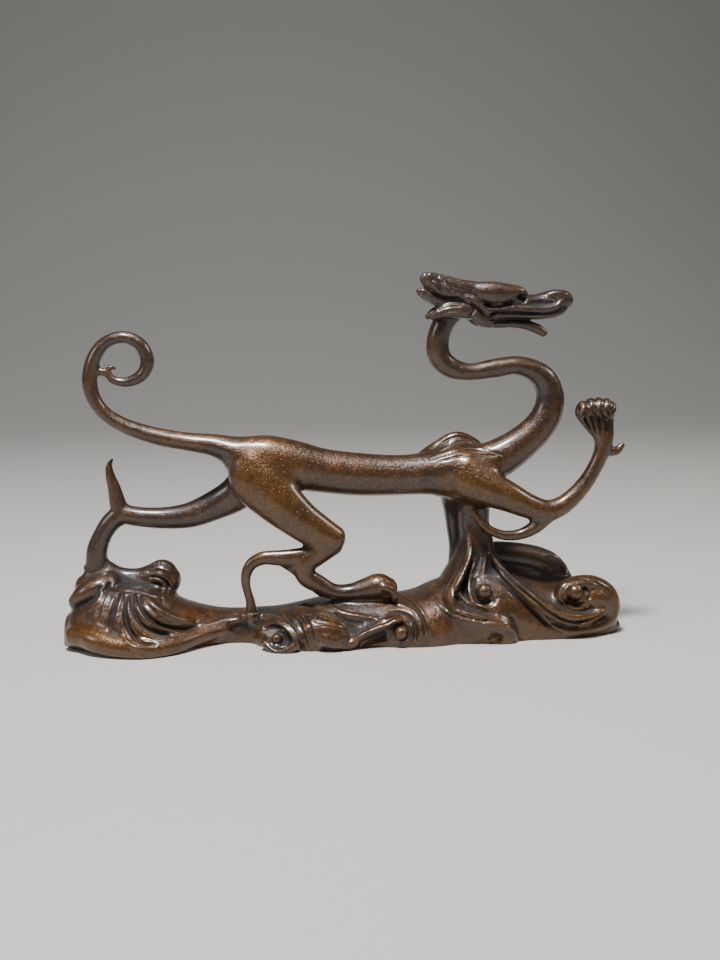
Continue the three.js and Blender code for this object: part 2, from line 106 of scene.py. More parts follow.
# ---------------------------------------------------------------------------
# Lines and limbs
# ---------------------------------------------------------------------------
def smooth_line(stations, spacing=0.5):
    """A smooth curve through the stations, every column carried along, evenly spaced."""
    rows = np.asarray(stations, float)
    gap = np.linalg.norm(np.diff(rows[:, :3], axis=0), axis=1) ** 0.5
    rows = np.vstack([2 * rows[0] - rows[1], rows, 2 * rows[-1] - rows[-2]])
    gap = np.concatenate([gap[:1], gap, gap[-1:]])
    share = np.linspace(0, 1, 16, endpoint=False)[:, None]
    pieces = []
    for i in range(1, len(rows) - 2):
        a, b, c, d = rows[i - 1:i + 3]
        before, here, after = gap[i - 1:i + 2]
        leave = ((b - a) / before - (c - a) / (before + here) + (c - b) / here) * here
        arrive = ((c - b) / here - (d - b) / (here + after) + (d - c) / after) * here
        cubic = 2 * (b - c) + leave + arrive
        square = 3 * (c - b) - 2 * leave - arrive
        pieces.append(((cubic * share + square) * share + leave) * share + b)
    fine = np.vstack([*pieces, rows[-2:-1]])
    run = np.concatenate([[0], np.cumsum(np.linalg.norm(np.diff(fine[:, :3], axis=0), axis=1))])
    count = max(int(run[-1] / spacing), 4) + 1
    at = np.linspace(0, run[-1], count)
    return np.stack([np.interp(at, run, column) for column in fine.T], axis=1)


def limb(wax, stations, power=2.0, across=ACROSS, sides=20, caps=4, blunt=1.0):
    """A round-ended limb: a sphere drawn out along a smooth line.

    Each station is (x, y, z, high, wide): high is the half height in the plane of the
    bend, and wide, the same where it is left out, is the half width across it. power
    above 2 squares the section, below 2 it gives it an edge, and blunt is the ends' length.
    """
    full = [tuple(s) + ((s[3],) if len(s) == 4 else ()) for s in stations]
    line = smooth_line(full)
    rows = len(line) - 1 + 2 * caps
    lump = bmesh.new()
    bmesh.ops.create_uvsphere(lump, u_segments=sides, v_segments=rows, radius=1)
    ball = np.array([v.co for v in lump.verts])
    row = np.arccos(np.clip(ball[:, 2], -1, 1)) / math.pi * rows
    turn = np.arctan2(ball[:, 1], ball[:, 0])
    cap = (np.clip(row - (rows - caps), 0, None) - np.clip(caps - row, 0, None)) / caps
    cap *= math.pi / 2
    place = np.clip(row - caps, 0, len(line) - 1)
    columns = [np.interp(place, np.arange(len(line)), column) for column in line.T]
    centre = np.stack(columns[:3], axis=1)
    tall, wide = columns[3], columns[4]
    heading = np.gradient(line[:, :3], axis=0)
    heading = np.stack([np.interp(place, np.arange(len(line)), c) for c in heading.T], axis=1)
    heading /= np.linalg.norm(heading, axis=1, keepdims=True)
    side = across - heading * (heading @ across)[:, None]
    side /= np.linalg.norm(side, axis=1, keepdims=True)
    down = np.cross(side, heading)
    centre = centre + heading * (np.sin(cap) * np.minimum(tall, wide) * blunt)[:, None]
    shrink = np.cos(cap)
    cosine, sine = np.cos(turn), np.sin(turn)
    reach = np.sign(cosine) * np.abs(cosine) ** (2 / power) * wide * shrink
    drop = np.sign(sine) * np.abs(sine) ** (2 / power) * tall * shrink
    points = centre + side * reach[:, None] + down * drop[:, None]
    for vert, point in zip(lump.verts, points):
        vert.co = point
    press_on(wax, lump)


def press_on(wax, lump):
    """Adds a lump to the wax and lets go of it."""
    mesh = bpy.data.meshes.new("lump")
    lump.to_mesh(mesh)
    lump.free()
    wax.from_mesh(mesh)
    bpy.data.meshes.remove(mesh)


def limb_at(wax, y, stations, **options):
    """A limb that stays in one plane, with stations (x, z, high, wide)."""
    limb(wax, [(s[0], y, *s[1:]) for s in stations], **options)


def pair(wax, stations, **options):
    """The same limb on both sides of the head."""
    limb(wax, stations, **options)
    limb(wax, [(s[0], -s[1], *s[2:]) for s in stations], **options)


def ball(wax, x, y, z, radius):
    place = Matrix.Translation((x, y, z))
    lump = bmesh.new()
    bmesh.ops.create_uvsphere(lump, u_segments=20, v_segments=14, radius=radius, matrix=place)
    press_on(wax, lump)


# ---------------------------------------------------------------------------
# The dragon
# ---------------------------------------------------------------------------
def body(wax):
    limb(wax, [
        (-26, 0, SPINE + 5.3, 4.6, 4), (-20, 0, SPINE + 4.1, 6.2, 5),
        (-13, 0, SPINE + 2.8, 6.2, 5.2), (-5.5, 0, SPINE + 1.2, 5.6, 4.9),
        (4.5, 0, SPINE, 5.4, 4.7), (14.5, 0, SPINE - 0.3, 5.1, 4.7), (22, 0, SPINE, 5.5, 5),
        (28.5, 0, SPINE, 6.8, 5.6), (34.5, 0, SPINE + 0.8, 6, 5.2),
    ], sides=32)
    limb(wax, [
        (20.5, FAR - 1.5, SPINE + 3.4, 2, 1.8), (24.8, FAR - 0.5, SPINE + 5.1, 2.9, 1.9),
        (29, FAR - 0.5, SPINE + 5.6, 4.6, 2.2), (33.5, FAR - 0.5, SPINE + 4, 4.2, 2),
    ])


def tail(wax):
    """Sweeps back and up, and curls in until its end touches it again."""
    limb_at(wax, 0, [
        (-22, 46.5, 4.4), (-26.5, 47.2, 3.9), (-31.5, 48.8, 2.9), (-38, 49.8, 2.35),
        (-44.5, 51, 2.25), (-49.5, 52.5, 2.05), (-54, 54.4, 1.9), (-58, 57.3, 1.75),
        (-60.4, 61.4, 1.8), (-60.8, 66.2, 1.85), (-59.2, 71.2, 1.7), (-56.8, 73.9, 1.55),
        (-52.8, 75.2, 1.55), (-48.8, 73.5, 1.65), (-47.1, 69.4, 1.7), (-48.5, 66.1, 1.55),
        (-52.4, 64.4, 1.3), (-55.6, 65.2, 1.05), (-56.6, 67, 0.85), (-55.7, 68.1, 0.6),
        (-54.7, 67.6, 0.45),
    ], power=1.65)
    ball(wax, -57.9, 0, 66.9, 1.05)


def neck(wax):
    limb_at(wax, 0, [
        (28, SPINE + 0.5, 5.4, 4.8), (35, 42.6, 5.6, 4.8), (41, 45.4, 4.9, 4.3),
        (45.4, 48.4, 4.4, 4), (49.4, 52.1, 4.05, 3.7), (51.6, 55.6, 3.85, 3.5),
        (52.3, 60.2, 3.5, 3.3), (50.2, 64.9, 3.1, 3), (44.2, 67.8, 2.4, 2.6),
        (38.3, 67.2, 2.45, 2.5), (31.7, 66.3, 2.2, 2.4), (27, 67.3, 2.65, 2.5),
        (24.2, 69.8, 2.85, 2.6), (23.5, 73.3, 2.8, 2.7), (24.8, 78, 2.7, 2.8),
        (28.5, 82.3, 2.6, 2.8),
    ], sides=24)


def skull(wax):
    limb_at(wax, 0, [
        (27.5, 82.2, 2.8, 2.8), (31, 83.8, 3.6, 3.6), (35, 84.2, 3.9, 4), (39, 84, 3.6, 4),
        (43, 83.4, 2.6, 3.4), (46.8, 83.1, 2.2, 2.8), (50.3, 83.5, 2.45, 2.6),
        (53, 83.9, 2.7, 2.7), (54.9, 83.9, 2.5, 2.5),
    ], sides=28)
    # brow ridges, which end in a lip over the notch before the snout
    pair(wax, [
        (30.4, -2.2, 86, 2, 2), (33.4, -2.6, 85.9, 2.5, 2.3), (37, -2.8, 85.6, 2.8, 2.5),
        (40, -2.6, 85.6, 2.4, 2.3), (42.4, -2.3, 86, 1.6, 1.9),
        (44.2, -2.1, 85.9, 0.9, 1.4), (44.8, -2, 85.5, 0.6, 1),
    ], sides=24)
    # nostril wings
    pair(wax, [
        (50.6, -1.4, 85.2, 0.6, 0.8), (52.8, -1.6, 85.6, 0.8, 1),
        (54.8, -1.5, 85.2, 0.9, 1.1), (55.6, -1.3, 84, 0.9, 1.1),
    ])
    # the rolled upper lip
    pair(wax, [
        (34.6, -3.8, 81, 0.6), (36.4, -3.9, 81.8, 0.7), (40, -3.6, 81.9, 0.75),
        (45, -3.1, 81.7, 0.75), (49.6, -2.8, 81.8, 0.75), (52.6, -2.7, 82.5, 0.7),
        (53.8, -2.5, 83.8, 0.5),
    ])
    # the lower jaw, closed against the lip
    pair(wax, [
        (34.6, -2.8, 79.4, 0.9, 1.3), (37, -2.7, 80, 1, 1.4), (40, -2.5, 80.4, 0.95, 1.4),
        (45, -2, 80.3, 1, 1.4), (50, -1.8, 80.4, 1.2, 1.4), (53.4, -1.4, 81.1, 1.2, 1.3),
        (54.7, -1.1, 81.9, 1, 1.1),
    ])
    limb_at(wax, 0, [(34.6, 80.2, 1.6, 2.6), (44, 80.5, 1.5, 2.2), (53.6, 81.3, 1.5, 1.9)])
    # tooth arches
    pair(wax, [(41.7, -3.2, 84.6, 0.45), (41.9, -3.4, 83.6, 0.6), (42, -3.4, 82.4, 0.6)])


def ruff(wax):
    """Ears swept back as leaves, the locks below them, the cheek flaps and the beard."""
    pair(wax, [
        (32, -2.8, 86.4, 2.1, 1.5), (27.6, -3.1, 86.5, 2.6, 1.5),
        (24.4, -3.3, 87.3, 2.7, 1.4), (22, -3.4, 88.4, 2.2, 1.2),
        (20.6, -3.4, 89.4, 1.5, 1),
    ], sides=24)
    pair(wax, [
        (29.4, -1.9, 84, 1.6, 1.6), (26.2, -2.2, 83.7, 1.35, 1.5),
        (23.4, -2.4, 83.9, 1.3, 1.3), (21, -2.4, 84.9, 1.2, 1.2), (19.4, -2.4, 86, 0.95, 1),
    ])
    pair(wax, [
        (32, -2.6, 80.8, 1.6, 1.5), (28.6, -3.2, 81.4, 1.9, 1.6),
        (25.4, -3.3, 81.4, 1.8, 1.5), (22.8, -3.2, 80.6, 1.25, 1.2),
        (21.6, -3.1, 79.9, 0.8, 0.9),
    ], sides=24)
    pair(wax, [
        (28.8, -3.6, 84.7, 0.7, 0.9), (31, -4.1, 84.1, 1, 0.8), (33.2, -4.3, 82.6, 1, 0.8),
        (35.4, -4.2, 81.2, 0.9, 0.7),
    ])
    pair(wax, [
        (29.4, -3, 83.4, 1.2, 1), (31.6, -3.6, 81.4, 1.7, 1), (33.8, -3.6, 79.4, 1.7, 1),
        (36, -3.1, 78.3, 1.2, 0.9),
    ])
    limb(wax, [
        (34.6, -1.2, 78.4, 1.3, 1.8), (38.2, -1.3, 78.2, 1.2, 1.6),
        (42, -1.3, 78.3, 1.15, 1.4), (45.6, -1.3, 77.8, 1.25, 1.3),
        (48.6, -1.3, 76.7, 1.25, 1.2), (49.8, -1.3, 75.9, 1.05, 1),
    ])


def toes(wax, x, y, z, count, reach, radius=1.15):
    """Each toe runs forward over its knuckle and bends down."""
    for index in range(count):
        toe_y = y + (index - (count - 1) / 2) * radius * 1.45
        limb(wax, [
            (x - reach, toe_y, z + 1.5, radius),
            (x - 0.2, toe_y, z + 0.8, radius),
            (x + 0.8, toe_y, z - 1.4, radius * 0.8),
        ])


def near_hind_leg(wax):
    limb(wax, [
        (-22.6, -1.2, 44.6, 6, 4.4), (-21.2, -2.4, 41, 6.9, 4.4), (-16.6, -4, 35.8, 6, 3.9),
        (-11, NEAR, 30.8, 4.9, 3.5), (-6.4, NEAR, 27.5, 4.4, 3.3),
        (-3, NEAR, 25.6, 3.8, 3.1),
    ], sides=32)
    limb_at(wax, NEAR, [
        (-3.4, 25, 3.4, 2.9), (-7.2, 22, 3, 2.5), (-10.2, 19.2, 2.6, 2.2),
        (-9.6, 16.6, 2.5, 2.1), (-6.4, 14.4, 2.3, 2), (-2.8, 12.5, 2, 2.1),
        (1.3, 12.3, 2.1, 2.3), (5, 12.9, 2.7, 2.8), (8.6, 13.5, 3.3, 3.2),
        (10.4, 13, 2.9, 2.9),
    ], sides=24)
    limb_at(wax, NEAR, [
        (-8.6, 21.6, 2.6, 2), (-12.8, 21.2, 2.4, 1.8), (-17, 21.4, 1.9, 1.6),
        (-20.2, 21.4, 1.7, 1.5), (-22.8, 20.2, 1.5, 1.4), (-24.2, 18, 1.35, 1.3),
        (-24.5, 15.4, 1.2), (-24, 12.8, 1.1), (-23.4, 10.4, 1.2), (-23.2, 6, 1.7),
    ])
    limb_at(wax, NEAR + 0.4, [
        (-15.4, 20, 1, 1), (-12, 17.8, 1.2, 1.2), (-9, 15.2, 1.4, 1.4),
        (-5.6, 12.6, 1.6, 1.6),
    ])
    ball(wax, -25, NEAR + 0.4, 6.8, 1.1)
    ball(wax, -21.6, NEAR + 0.2, 6.9, 1.1)


def far_hind_leg(wax):
    limb(wax, [
        (-21, 2, 42, 5.6, 3.8), (-26.5, 3.2, 36.2, 4.5, 3.6), (-31.8, FAR, 33.2, 3.8, 3.2),
        (-38.1, FAR, 30.8, 3.25, 2.9), (-44.3, FAR, 30.2, 2.75, 2.6),
        (-50.5, FAR, 30.6, 2.5, 2.4), (-54.6, FAR, 31.4, 2.5, 2.4),
    ], sides=28)
    limb_at(wax, FAR, [
        (-54.5, 31.5, 2.5, 2.3), (-57.2, 29.8, 2.45, 2.2), (-59.7, 26.2, 2.35, 2.2),
        (-61.2, 22.4, 2.6, 2.3), (-61.6, 18.6, 2.7, 2.4), (-62.6, 16, 2.3, 2.2),
    ], sides=24)
    limb_at(wax, FAR, [
        (-64.3, 18, 0.6, 0.8), (-61.2, 18.2, 2.2, 2), (-55.9, 16, 1.9, 2.2),
        (-51.4, 15.2, 2.3, 2.6), (-48.3, 15, 3.6, 3.4), (-45.8, 14.8, 4.9, 4.2),
        (-44.8, 14, 4.4, 4),
    ], sides=28)
    limb(wax, [
        (-64, FAR - 0.6, 13.4, 3, 4), (-58, FAR - 0.6, 13, 3.4, 4.4),
        (-51, FAR - 0.6, 11.8, 3, 4.6), (-45, FAR - 0.6, 9, 2.4, 4.4),
    ])
    limb_at(wax, FAR, [
        (-54.8, 31.2, 2.4, 2.1), (-55.7, 33.8, 2.15, 1.9), (-56.4, 37.5, 1.7, 1.5),
        (-57.4, 41.3, 1.2, 1.2), (-57.5, 43.8, 0.75, 0.8), (-56.6, 45.3, 0.35, 0.4),
    ])


def raised_foreleg(wax):
    """Ends in a palm, whose five fingers curl over towards the viewer."""
    limb(wax, [
        (29.5, -2.6, 41.2, 6, 3.6), (34, -4.2, 38.6, 5, 3.6),
        (40.5, NEAR - 0.5, 35.8, 3.9, 3.3), (46, NEAR - 0.5, 33.2, 3.15, 2.9),
        (50.4, NEAR - 0.5, 31.9, 2.85, 2.6), (53.9, NEAR - 0.5, 32.8, 2.5, 2.3),
        (57.3, NEAR - 0.3, 35.2, 2.25, 2.1), (60.5, NEAR, 38.7, 2, 2),
        (62.9, NEAR, 42.7, 1.9, 1.9), (64.6, NEAR, 47, 2.05, 1.9),
        (64.8, NEAR, 50, 2.6, 1.9), (64, NEAR, 53, 3.4, 1.7),
        (63.2, NEAR + 0.2, 56.4, 4.2, 1.4),
    ], sides=28)
    limb_at(wax, NEAR, [
        (65.6, 46.6, 1.3, 1.2),
        (68.4, 46.8, 1.15, 1.1),
        (69.8, 48.3, 0.7, 0.7),
    ])
    limb(wax, [
        (51, NEAR - 0.7, 30.9, 2.1, 1.9), (47.7, NEAR - 1, 28, 1.75),
        (43.9, NEAR - 1, 26.2, 1.4), (39.4, NEAR - 1, 26.1, 1.25),
        (35.8, NEAR - 0.6, 27.7, 1.1), (33.5, NEAR, 30, 0.9), (32.4, NEAR + 0.4, 31.8, 0.7),
    ])


def far_foreleg(wax):
    limb(wax, [
        (28.5, 2, 36, 4, 3), (28.7, 3, 31.5, 2.7, 2.4), (29, 3.2, 27, 2.2, 2.2),
        (29.6, 3.2, 21.5, 2, 2), (30, 3.4, 15.5, 2.6, 2.6),
    ])
    limb_at(wax, FAR + 2, [
        (34, 17.6, 4, 3.4), (41, 18.2, 3.6, 3.4), (47, 17.6, 3.6, 3.6),
        (52.6, 16, 3.8, 3.8), (56.4, 13.4, 3.6, 3.6), (58.8, 10.6, 2.8, 3),
    ], sides=24)
    limb_at(wax, FAR, [(36, 12, 5, 5), (46, 11.4, 4.6, 5), (55, 9.6, 3.6, 4.4)])


def paws(wax):
    """The toes of the standing paws and the curled fingers of the raised one."""
    toes(wax, 11.4, NEAR, 12.4, 4, 2)
    for index in range(3):
        toe_y = FAR - 0.2 + index * 2.1
        limb(wax, [
            (52, toe_y, 18.2, 0.9), (55.6, toe_y, 17.4, 1.15), (58, toe_y, 14.6, 1.15),
            (58.6, toe_y, 11.6, 0.9),
        ])
    for x, top in ((58.5, 58.4), (60.5, 59.1), (62.5, 59.2), (64.4, 59), (65.7, 58.2)):
        limb(wax, [
            (x * 0.4 + 64 * 0.6, NEAR + 0.2, 52, 1.1), (x, NEAR + 0.2, top - 2, 1.15),
            (x + 0.5, NEAR - 0.6, top, 1.15), (x + 0.3, NEAR - 2.2, top - 0.9, 1.05),
            (x - 0.3, NEAR - 2.7, top - 2.6, 0.75),
        ], across=ALONG, sides=16)


# ---------------------------------------------------------------------------
# The waves
# ---------------------------------------------------------------------------
# Each station is (x, top, front, back): the crest's height and the underside's edges.
BASE_LINE = [
    (-68.7, 6.8, -3, 4.6), (-66.8, 8.8, -5.4, 7), (-61, 12.8, -8.4, 9),
    (-55.5, 14.6, -11.8, 10), (-49, 13.8, -13.6, 10), (-43, 12.2, -11, 9.5),
    (-38, 9.4, -8, 9), (-32, 7.4, -5.6, 8.4), (-26.5, 6.8, -5, 8.4), (-21, 7, -6.5, 9),
    (-15, 7.8, -11.5, 10), (-8, 9.2, -13.8, 10.3), (0, 10.4, -12.5, 10),
    (8, 10.6, -12.2, 10.4), (14, 10.2, -13.2, 11), (20, 11.2, -13.4, 11.6),
    (26, 13.6, -12, 12), (33, 16.6, -12.2, 12.4), (39, 16.6, -12.2, 12.6),
    (45, 15, -10.6, 12), (52, 12.8, -10.6, 11.4), (58, 12.6, -9.9, 10.6),
    (64, 12.4, -8.6, 8.8), (68.4, 10, -6.6, 6.6), (70.2, 6.6, -4.6, 4.6),
]


def base_body(wax):
    limb(wax, [(x, (front + back) / 2, 0, top, (back - front) / 2)
               for x, top, front, back in BASE_LINE], power=BASE_ROUNDING, sides=64, blunt=0.25)


def pillar(wax):
    limb(wax, [
        (33.4, 0, 36, 4.2, 3.4), (33.4, 0, 30, 3.9, 3), (33.4, 0, 24, 3.8, 3.4),
        (32.8, 0, 19, 4.8, 4.8), (32.5, 0, 14, 7.4, 7), (32.5, 0, 8, 11, 9.5),
    ], power=2.4, sides=32)


def front_of(wax):
    """A function that gives the depth of the wax's front at a place (x, z)."""
    wax.normal_update()
    tree = BVHTree.FromBMesh(wax)

    def depth(x, z):
        hit = tree.ray_cast(Vector((x, -60, max(z, 0.05))), Vector((0, 1, 0)))[0]
        return hit.y if hit else 0.0
    return depth


def rib(wax, depth, stations, proud=0.2, **options):
    """A rib laid on the front of the wax, with stations (x, z, high, wide)."""
    limb(wax, [(x, depth(x, z) - proud, z, *size) for x, z, *size in stations], **options)


def crests(wax, depth):
    """The main rolls and lumps of the waves; their folds are carved later."""
    # the rear lobe, and the plain band along the foot of the waves behind it
    limb(wax, [(-65.8, -0.4, 10.6, 2.3, 2.6), (-63.8, -1, 12.6, 2.7, 3.2),
               (-61.2, -0.6, 14.3, 2.6, 3.6), (-58.4, 1.2, 15, 2.4, 4)])
    limb(wax, [(-64, 0.4, 8.6, 2.6, 3.4), (-60, 0, 10.6, 3.2, 4)])
    rib(wax, depth, [(-65.6, 3.4, 2.8), (-63, 3.6, 3.1), (-60, 3.2, 3.1), (-55.6, 2.4, 2.8),
                     (-49, 1.8, 2.6), (-42.6, 1.9, 2.4), (-36, 2.8, 1.9), (-29.5, 3.6, 1.4)], 0)
    # a low ridge that runs forward and rolls under round a bead
    limb(wax, [
        (-39, -8.2, 3.4, 0.6, 0.8), (-36.5, -7.2, 4.2, 0.8, 1),
        (-32.2, -4.9, 4.9, 0.9, 1.1), (-26.4, -3.7, 5.5, 1, 1.2), (-22, -4.5, 6.1, 1, 1.3),
        (-18.4, -6.8, 6.4, 1.05, 1.4), (-15.1, -10.2, 5.7, 1.25, 1.6),
        (-13, -12.2, 4.1, 1.35, 1.7), (-12.7, -13.2, 2, 1.35, 1.7),
        (-14.6, -13.5, 0.7, 1.3, 1.6), (-17.6, -12.9, 0.4, 1.25, 1.5),
        (-20, -11.2, 1.6, 1.1, 1.4),
    ], sides=16)
    limb(wax, [(-19.6, -6.6, 2.2, 3, 2.4), (-16.4, -8.4, 2.2, 3.4, 2.6)])
    # the bulge, the second crest and the broad crest below the pillar
    rib(wax, depth, [(-8, 5, 3), (-6, 4, 3.6), (-3, 2.8, 3.8), (0.6, 1.4, 2.8)], -1.4)
    rib(wax, depth, [(-0.5, 0.6, 1.3), (4.3, 3.6, 1.3), (8.5, 5.4, 1.4), (12, 6.6, 1.1)], 0.3)
    rib(wax, depth, [(27, 7.6, 1.8), (31, 6.4, 2.2), (35.6, 5.4, 2.4), (39, 3.8, 2.2),
                     (39.8, 1.2, 1.9), (37.4, -0.4, 1.4)], -0.6)
    # the two folds that run down the pillar, one to each side of its bead
    limb(wax, [
        (31.4, -1.2, 30, 0.8, 1.2), (31.8, -2.2, 25, 1, 1.4), (30.8, -4.2, 20, 1.1, 1.8),
        (28.2, -6.6, 15.6, 1.3, 2), (25.8, -9, 11.4, 1.4, 2), (26.8, -11, 8.2, 1.2, 1.8),
        (32, -12, 6, 1, 1.6),
    ])
    limb(wax, [
        (37, -1.4, 27, 0.8, 1.2), (37.6, -2.8, 20.6, 0.9, 1.6),
        (40.6, -5.6, 15.6, 1.1, 1.8), (45.6, -8.4, 11.2, 1.3, 1.8),
        (50.3, -9.9, 7.8, 1.4, 1.7), (55, -10.6, 5.6, 1.4, 1.6), (60, -10.2, 5, 1.3, 1.5),
        (64.5, -9, 6.4, 1.1, 1.4),
    ])
    # the last roll, round its bead and down to the table
    limb(wax, [
        (54.4, -7.8, 9.8, 1.4, 2), (55.2, -6.8, 12, 1.6, 2.4), (58.6, -5.6, 13.2, 1.6, 3),
        (63.4, -5.2, 13, 1.8, 3.2), (67.2, -5, 10.6, 2, 3.2), (68.4, -5.2, 7.2, 2.2, 3),
        (67.2, -5.8, 3.8, 2.2, 2.8), (62.4, -7.8, 2.2, 1.8, 2.4), (56, -9.2, 2, 1.4, 2),
        (51.6, -9.8, 3.2, 1, 1.6),
    ])
    limb(wax, [(59.8, -7, 9.2, 2.4, 2.2), (63.6, -6.8, 9.2, 3.6, 2.8), (66, -6.4, 6.8, 3, 2.6)])
    limb(wax, [(68.4, -5.4, 1.2, 1.4, 1.6), (69.6, -4.6, 1.6, 1.4, 1.6)])


# ---------------------------------------------------------------------------
# The wax: one mesh that is smoothed, filled and carved before it is cast
# ---------------------------------------------------------------------------
class Wax:
    """The joined figure as arrays of points, edges and faces, in millimetres."""

    def __init__(self, mesh):
        count = len(mesh.vertices)
        self.mesh = mesh
        self.points = np.empty(count * 3)
        mesh.vertices.foreach_get("co", self.points)
        self.points = self.points.reshape(-1, 3)
        edges = np.empty(len(mesh.edges) * 2, int)
        mesh.edges.foreach_get("vertices", edges)
        self.edges = edges.reshape(-1, 2)
        mesh.calc_loop_triangles()
        corners = np.empty(len(mesh.loop_triangles) * 3, int)
        mesh.loop_triangles.foreach_get("vertices", corners)
        self.faces = corners.reshape(-1, 3)
        self.ties = np.bincount(self.edges.ravel(), minlength=count).astype(float)

    def gather(self, index, values):
        """Adds up, at each point, the rows whose index names it."""
        return np.stack([np.bincount(index, weights=column, minlength=len(self.points))
                         for column in values.T], axis=1)

    def towards_neighbours(self):
        """From each point to the middle of its neighbours."""
        first, second = self.edges.T
        total = self.gather(first, self.points[second]) + self.gather(second, self.points[first])
        return total / self.ties[:, None] - self.points

    def normals(self):
        a, b, c = (self.points[self.faces[:, i]] for i in range(3))
        face = np.cross(b - a, c - a)
        total = sum(self.gather(self.faces[:, i], face) for i in range(3))
        return total / np.maximum(np.linalg.norm(total, axis=1, keepdims=True), 1e-12)

    def spread(self, values, times):
        """Evens a value out over the neighbours of each point."""
        first, second = self.edges.T
        count = len(self.points)
        for _ in range(times):
            total = np.bincount(first, weights=values[second], minlength=count)
            total += np.bincount(second, weights=values[first], minlength=count)
            values = 0.5 * values + 0.5 * total / self.ties
        return values

    def relax(self, times, weight=1.0):
        """Takes off the grain and keeps the girth: a step in and a step out."""
        weight = np.broadcast_to(np.asarray(weight, float), (len(self.points),))[:, None]
        for _ in range(times):
            self.points += 0.5 * weight * self.towards_neighbours()
            self.points -= 0.52 * weight * self.towards_neighbours()

    def fill_creases(self, times, weight=1.0):
        """Lays fillets in the hollows where limbs meet."""
        for _ in range(times):
            normals = self.normals()
            rise = (self.towards_neighbours() * normals).sum(axis=1)
            self.points += normals * (np.clip(rise, 0, None) * 0.8 * weight)[:, None]

    def store(self):
        self.mesh.vertices.foreach_set("co", self.points.ravel())
        self.mesh.update()

    def laid_on(self, line, side="front"):
        """A smooth line through places (x, z), laid on the front or the back of the wax."""
        flat = smooth_line([(x, 0, z) for x, z in line], spacing=0.2)
        low, high = flat.min(axis=0) - 0.6, flat.max(axis=0) + 0.6
        x, y, z = self.points.T
        near = np.nonzero((x > low[0]) & (x < high[0]) & (z > low[2]) & (z < high[2]))[0]
        for spot in flat:
            off = (x[near] - spot[0]) ** 2 + (z[near] - spot[2]) ** 2
            close = near[off < 0.12]
            if not len(close):
                close = near[off.argmin()]
            spot[1] = y[close].min() if side == "front" else y[close].max()
        flat[1:-1, 1] = (flat[:-2, 1] + flat[1:-1, 1] + flat[2:, 1]) / 3
        return flat

    def stroke(self, line, height, width, other=None, taper=0.2, side="front"):
        """Raises the wax along a line, or cuts into it where height is negative.

        width is how far the stroke spreads on the left of its way, and other on its right.
        taper is the share of its length in which it fades at each end, and side is the side
        that a line of flat places (x, z) is laid on.
        """
        line = np.asarray(line, float)
        if line.shape[1] == 2:
            line = self.laid_on(line, side)
        other = width if other is None else other
        reach = max(width, other)
        low, high = line.min(axis=0) - reach, line.max(axis=0) + reach
        near = np.nonzero(((self.points > low) & (self.points < high)).all(axis=1))[0]
        if not len(near):
            return
        heading = np.gradient(line, axis=0)
        heading /= np.linalg.norm(heading, axis=1, keepdims=True)
        along = np.linspace(0, 1, len(line))
        for part in np.array_split(near, max(1, len(near) * len(line) // 4_000_000)):
            gap = self.points[part, None, :] - line[None, :, :]
            square = (gap ** 2).sum(axis=2)
            nearest = square.argmin(axis=1)
            rows = np.arange(len(part))
            gap, off = gap[rows, nearest], np.sqrt(square[rows, nearest])
            way = heading[nearest]
            left = way[:, 0] * gap[:, 2] - way[:, 2] * gap[:, 0] > 0
            share = np.clip(1 - off / np.where(left, width, other), 0, 1)
            profile = share * share * (3 - 2 * share)
            ends = np.minimum(along[nearest], 1 - along[nearest]) / max(taper, 1e-6)
            profile *= np.sqrt(np.clip(ends, 0, 1))
            self.points[part] += self.facing[part] * (profile * height)[:, None]

    def face(self):
        """Takes the directions that strokes push in from the surface as it is now."""
        self.facing = self.normals()


def remesh(obj, voxel):
    modifier = obj.modifiers.new("grain", "REMESH")
    modifier.mode = "VOXEL"
    modifier.voxel_size = voxel
    modifier.adaptivity = 0
    apply_modifiers(obj)


def apply_modifiers(obj):
    graph = bpy.context.evaluated_depsgraph_get()
    mesh = bpy.data.meshes.new_from_object(obj.evaluated_get(graph))
    obj.modifiers.clear()
    old = obj.data
    obj.data = mesh
    bpy.data.meshes.remove(old)


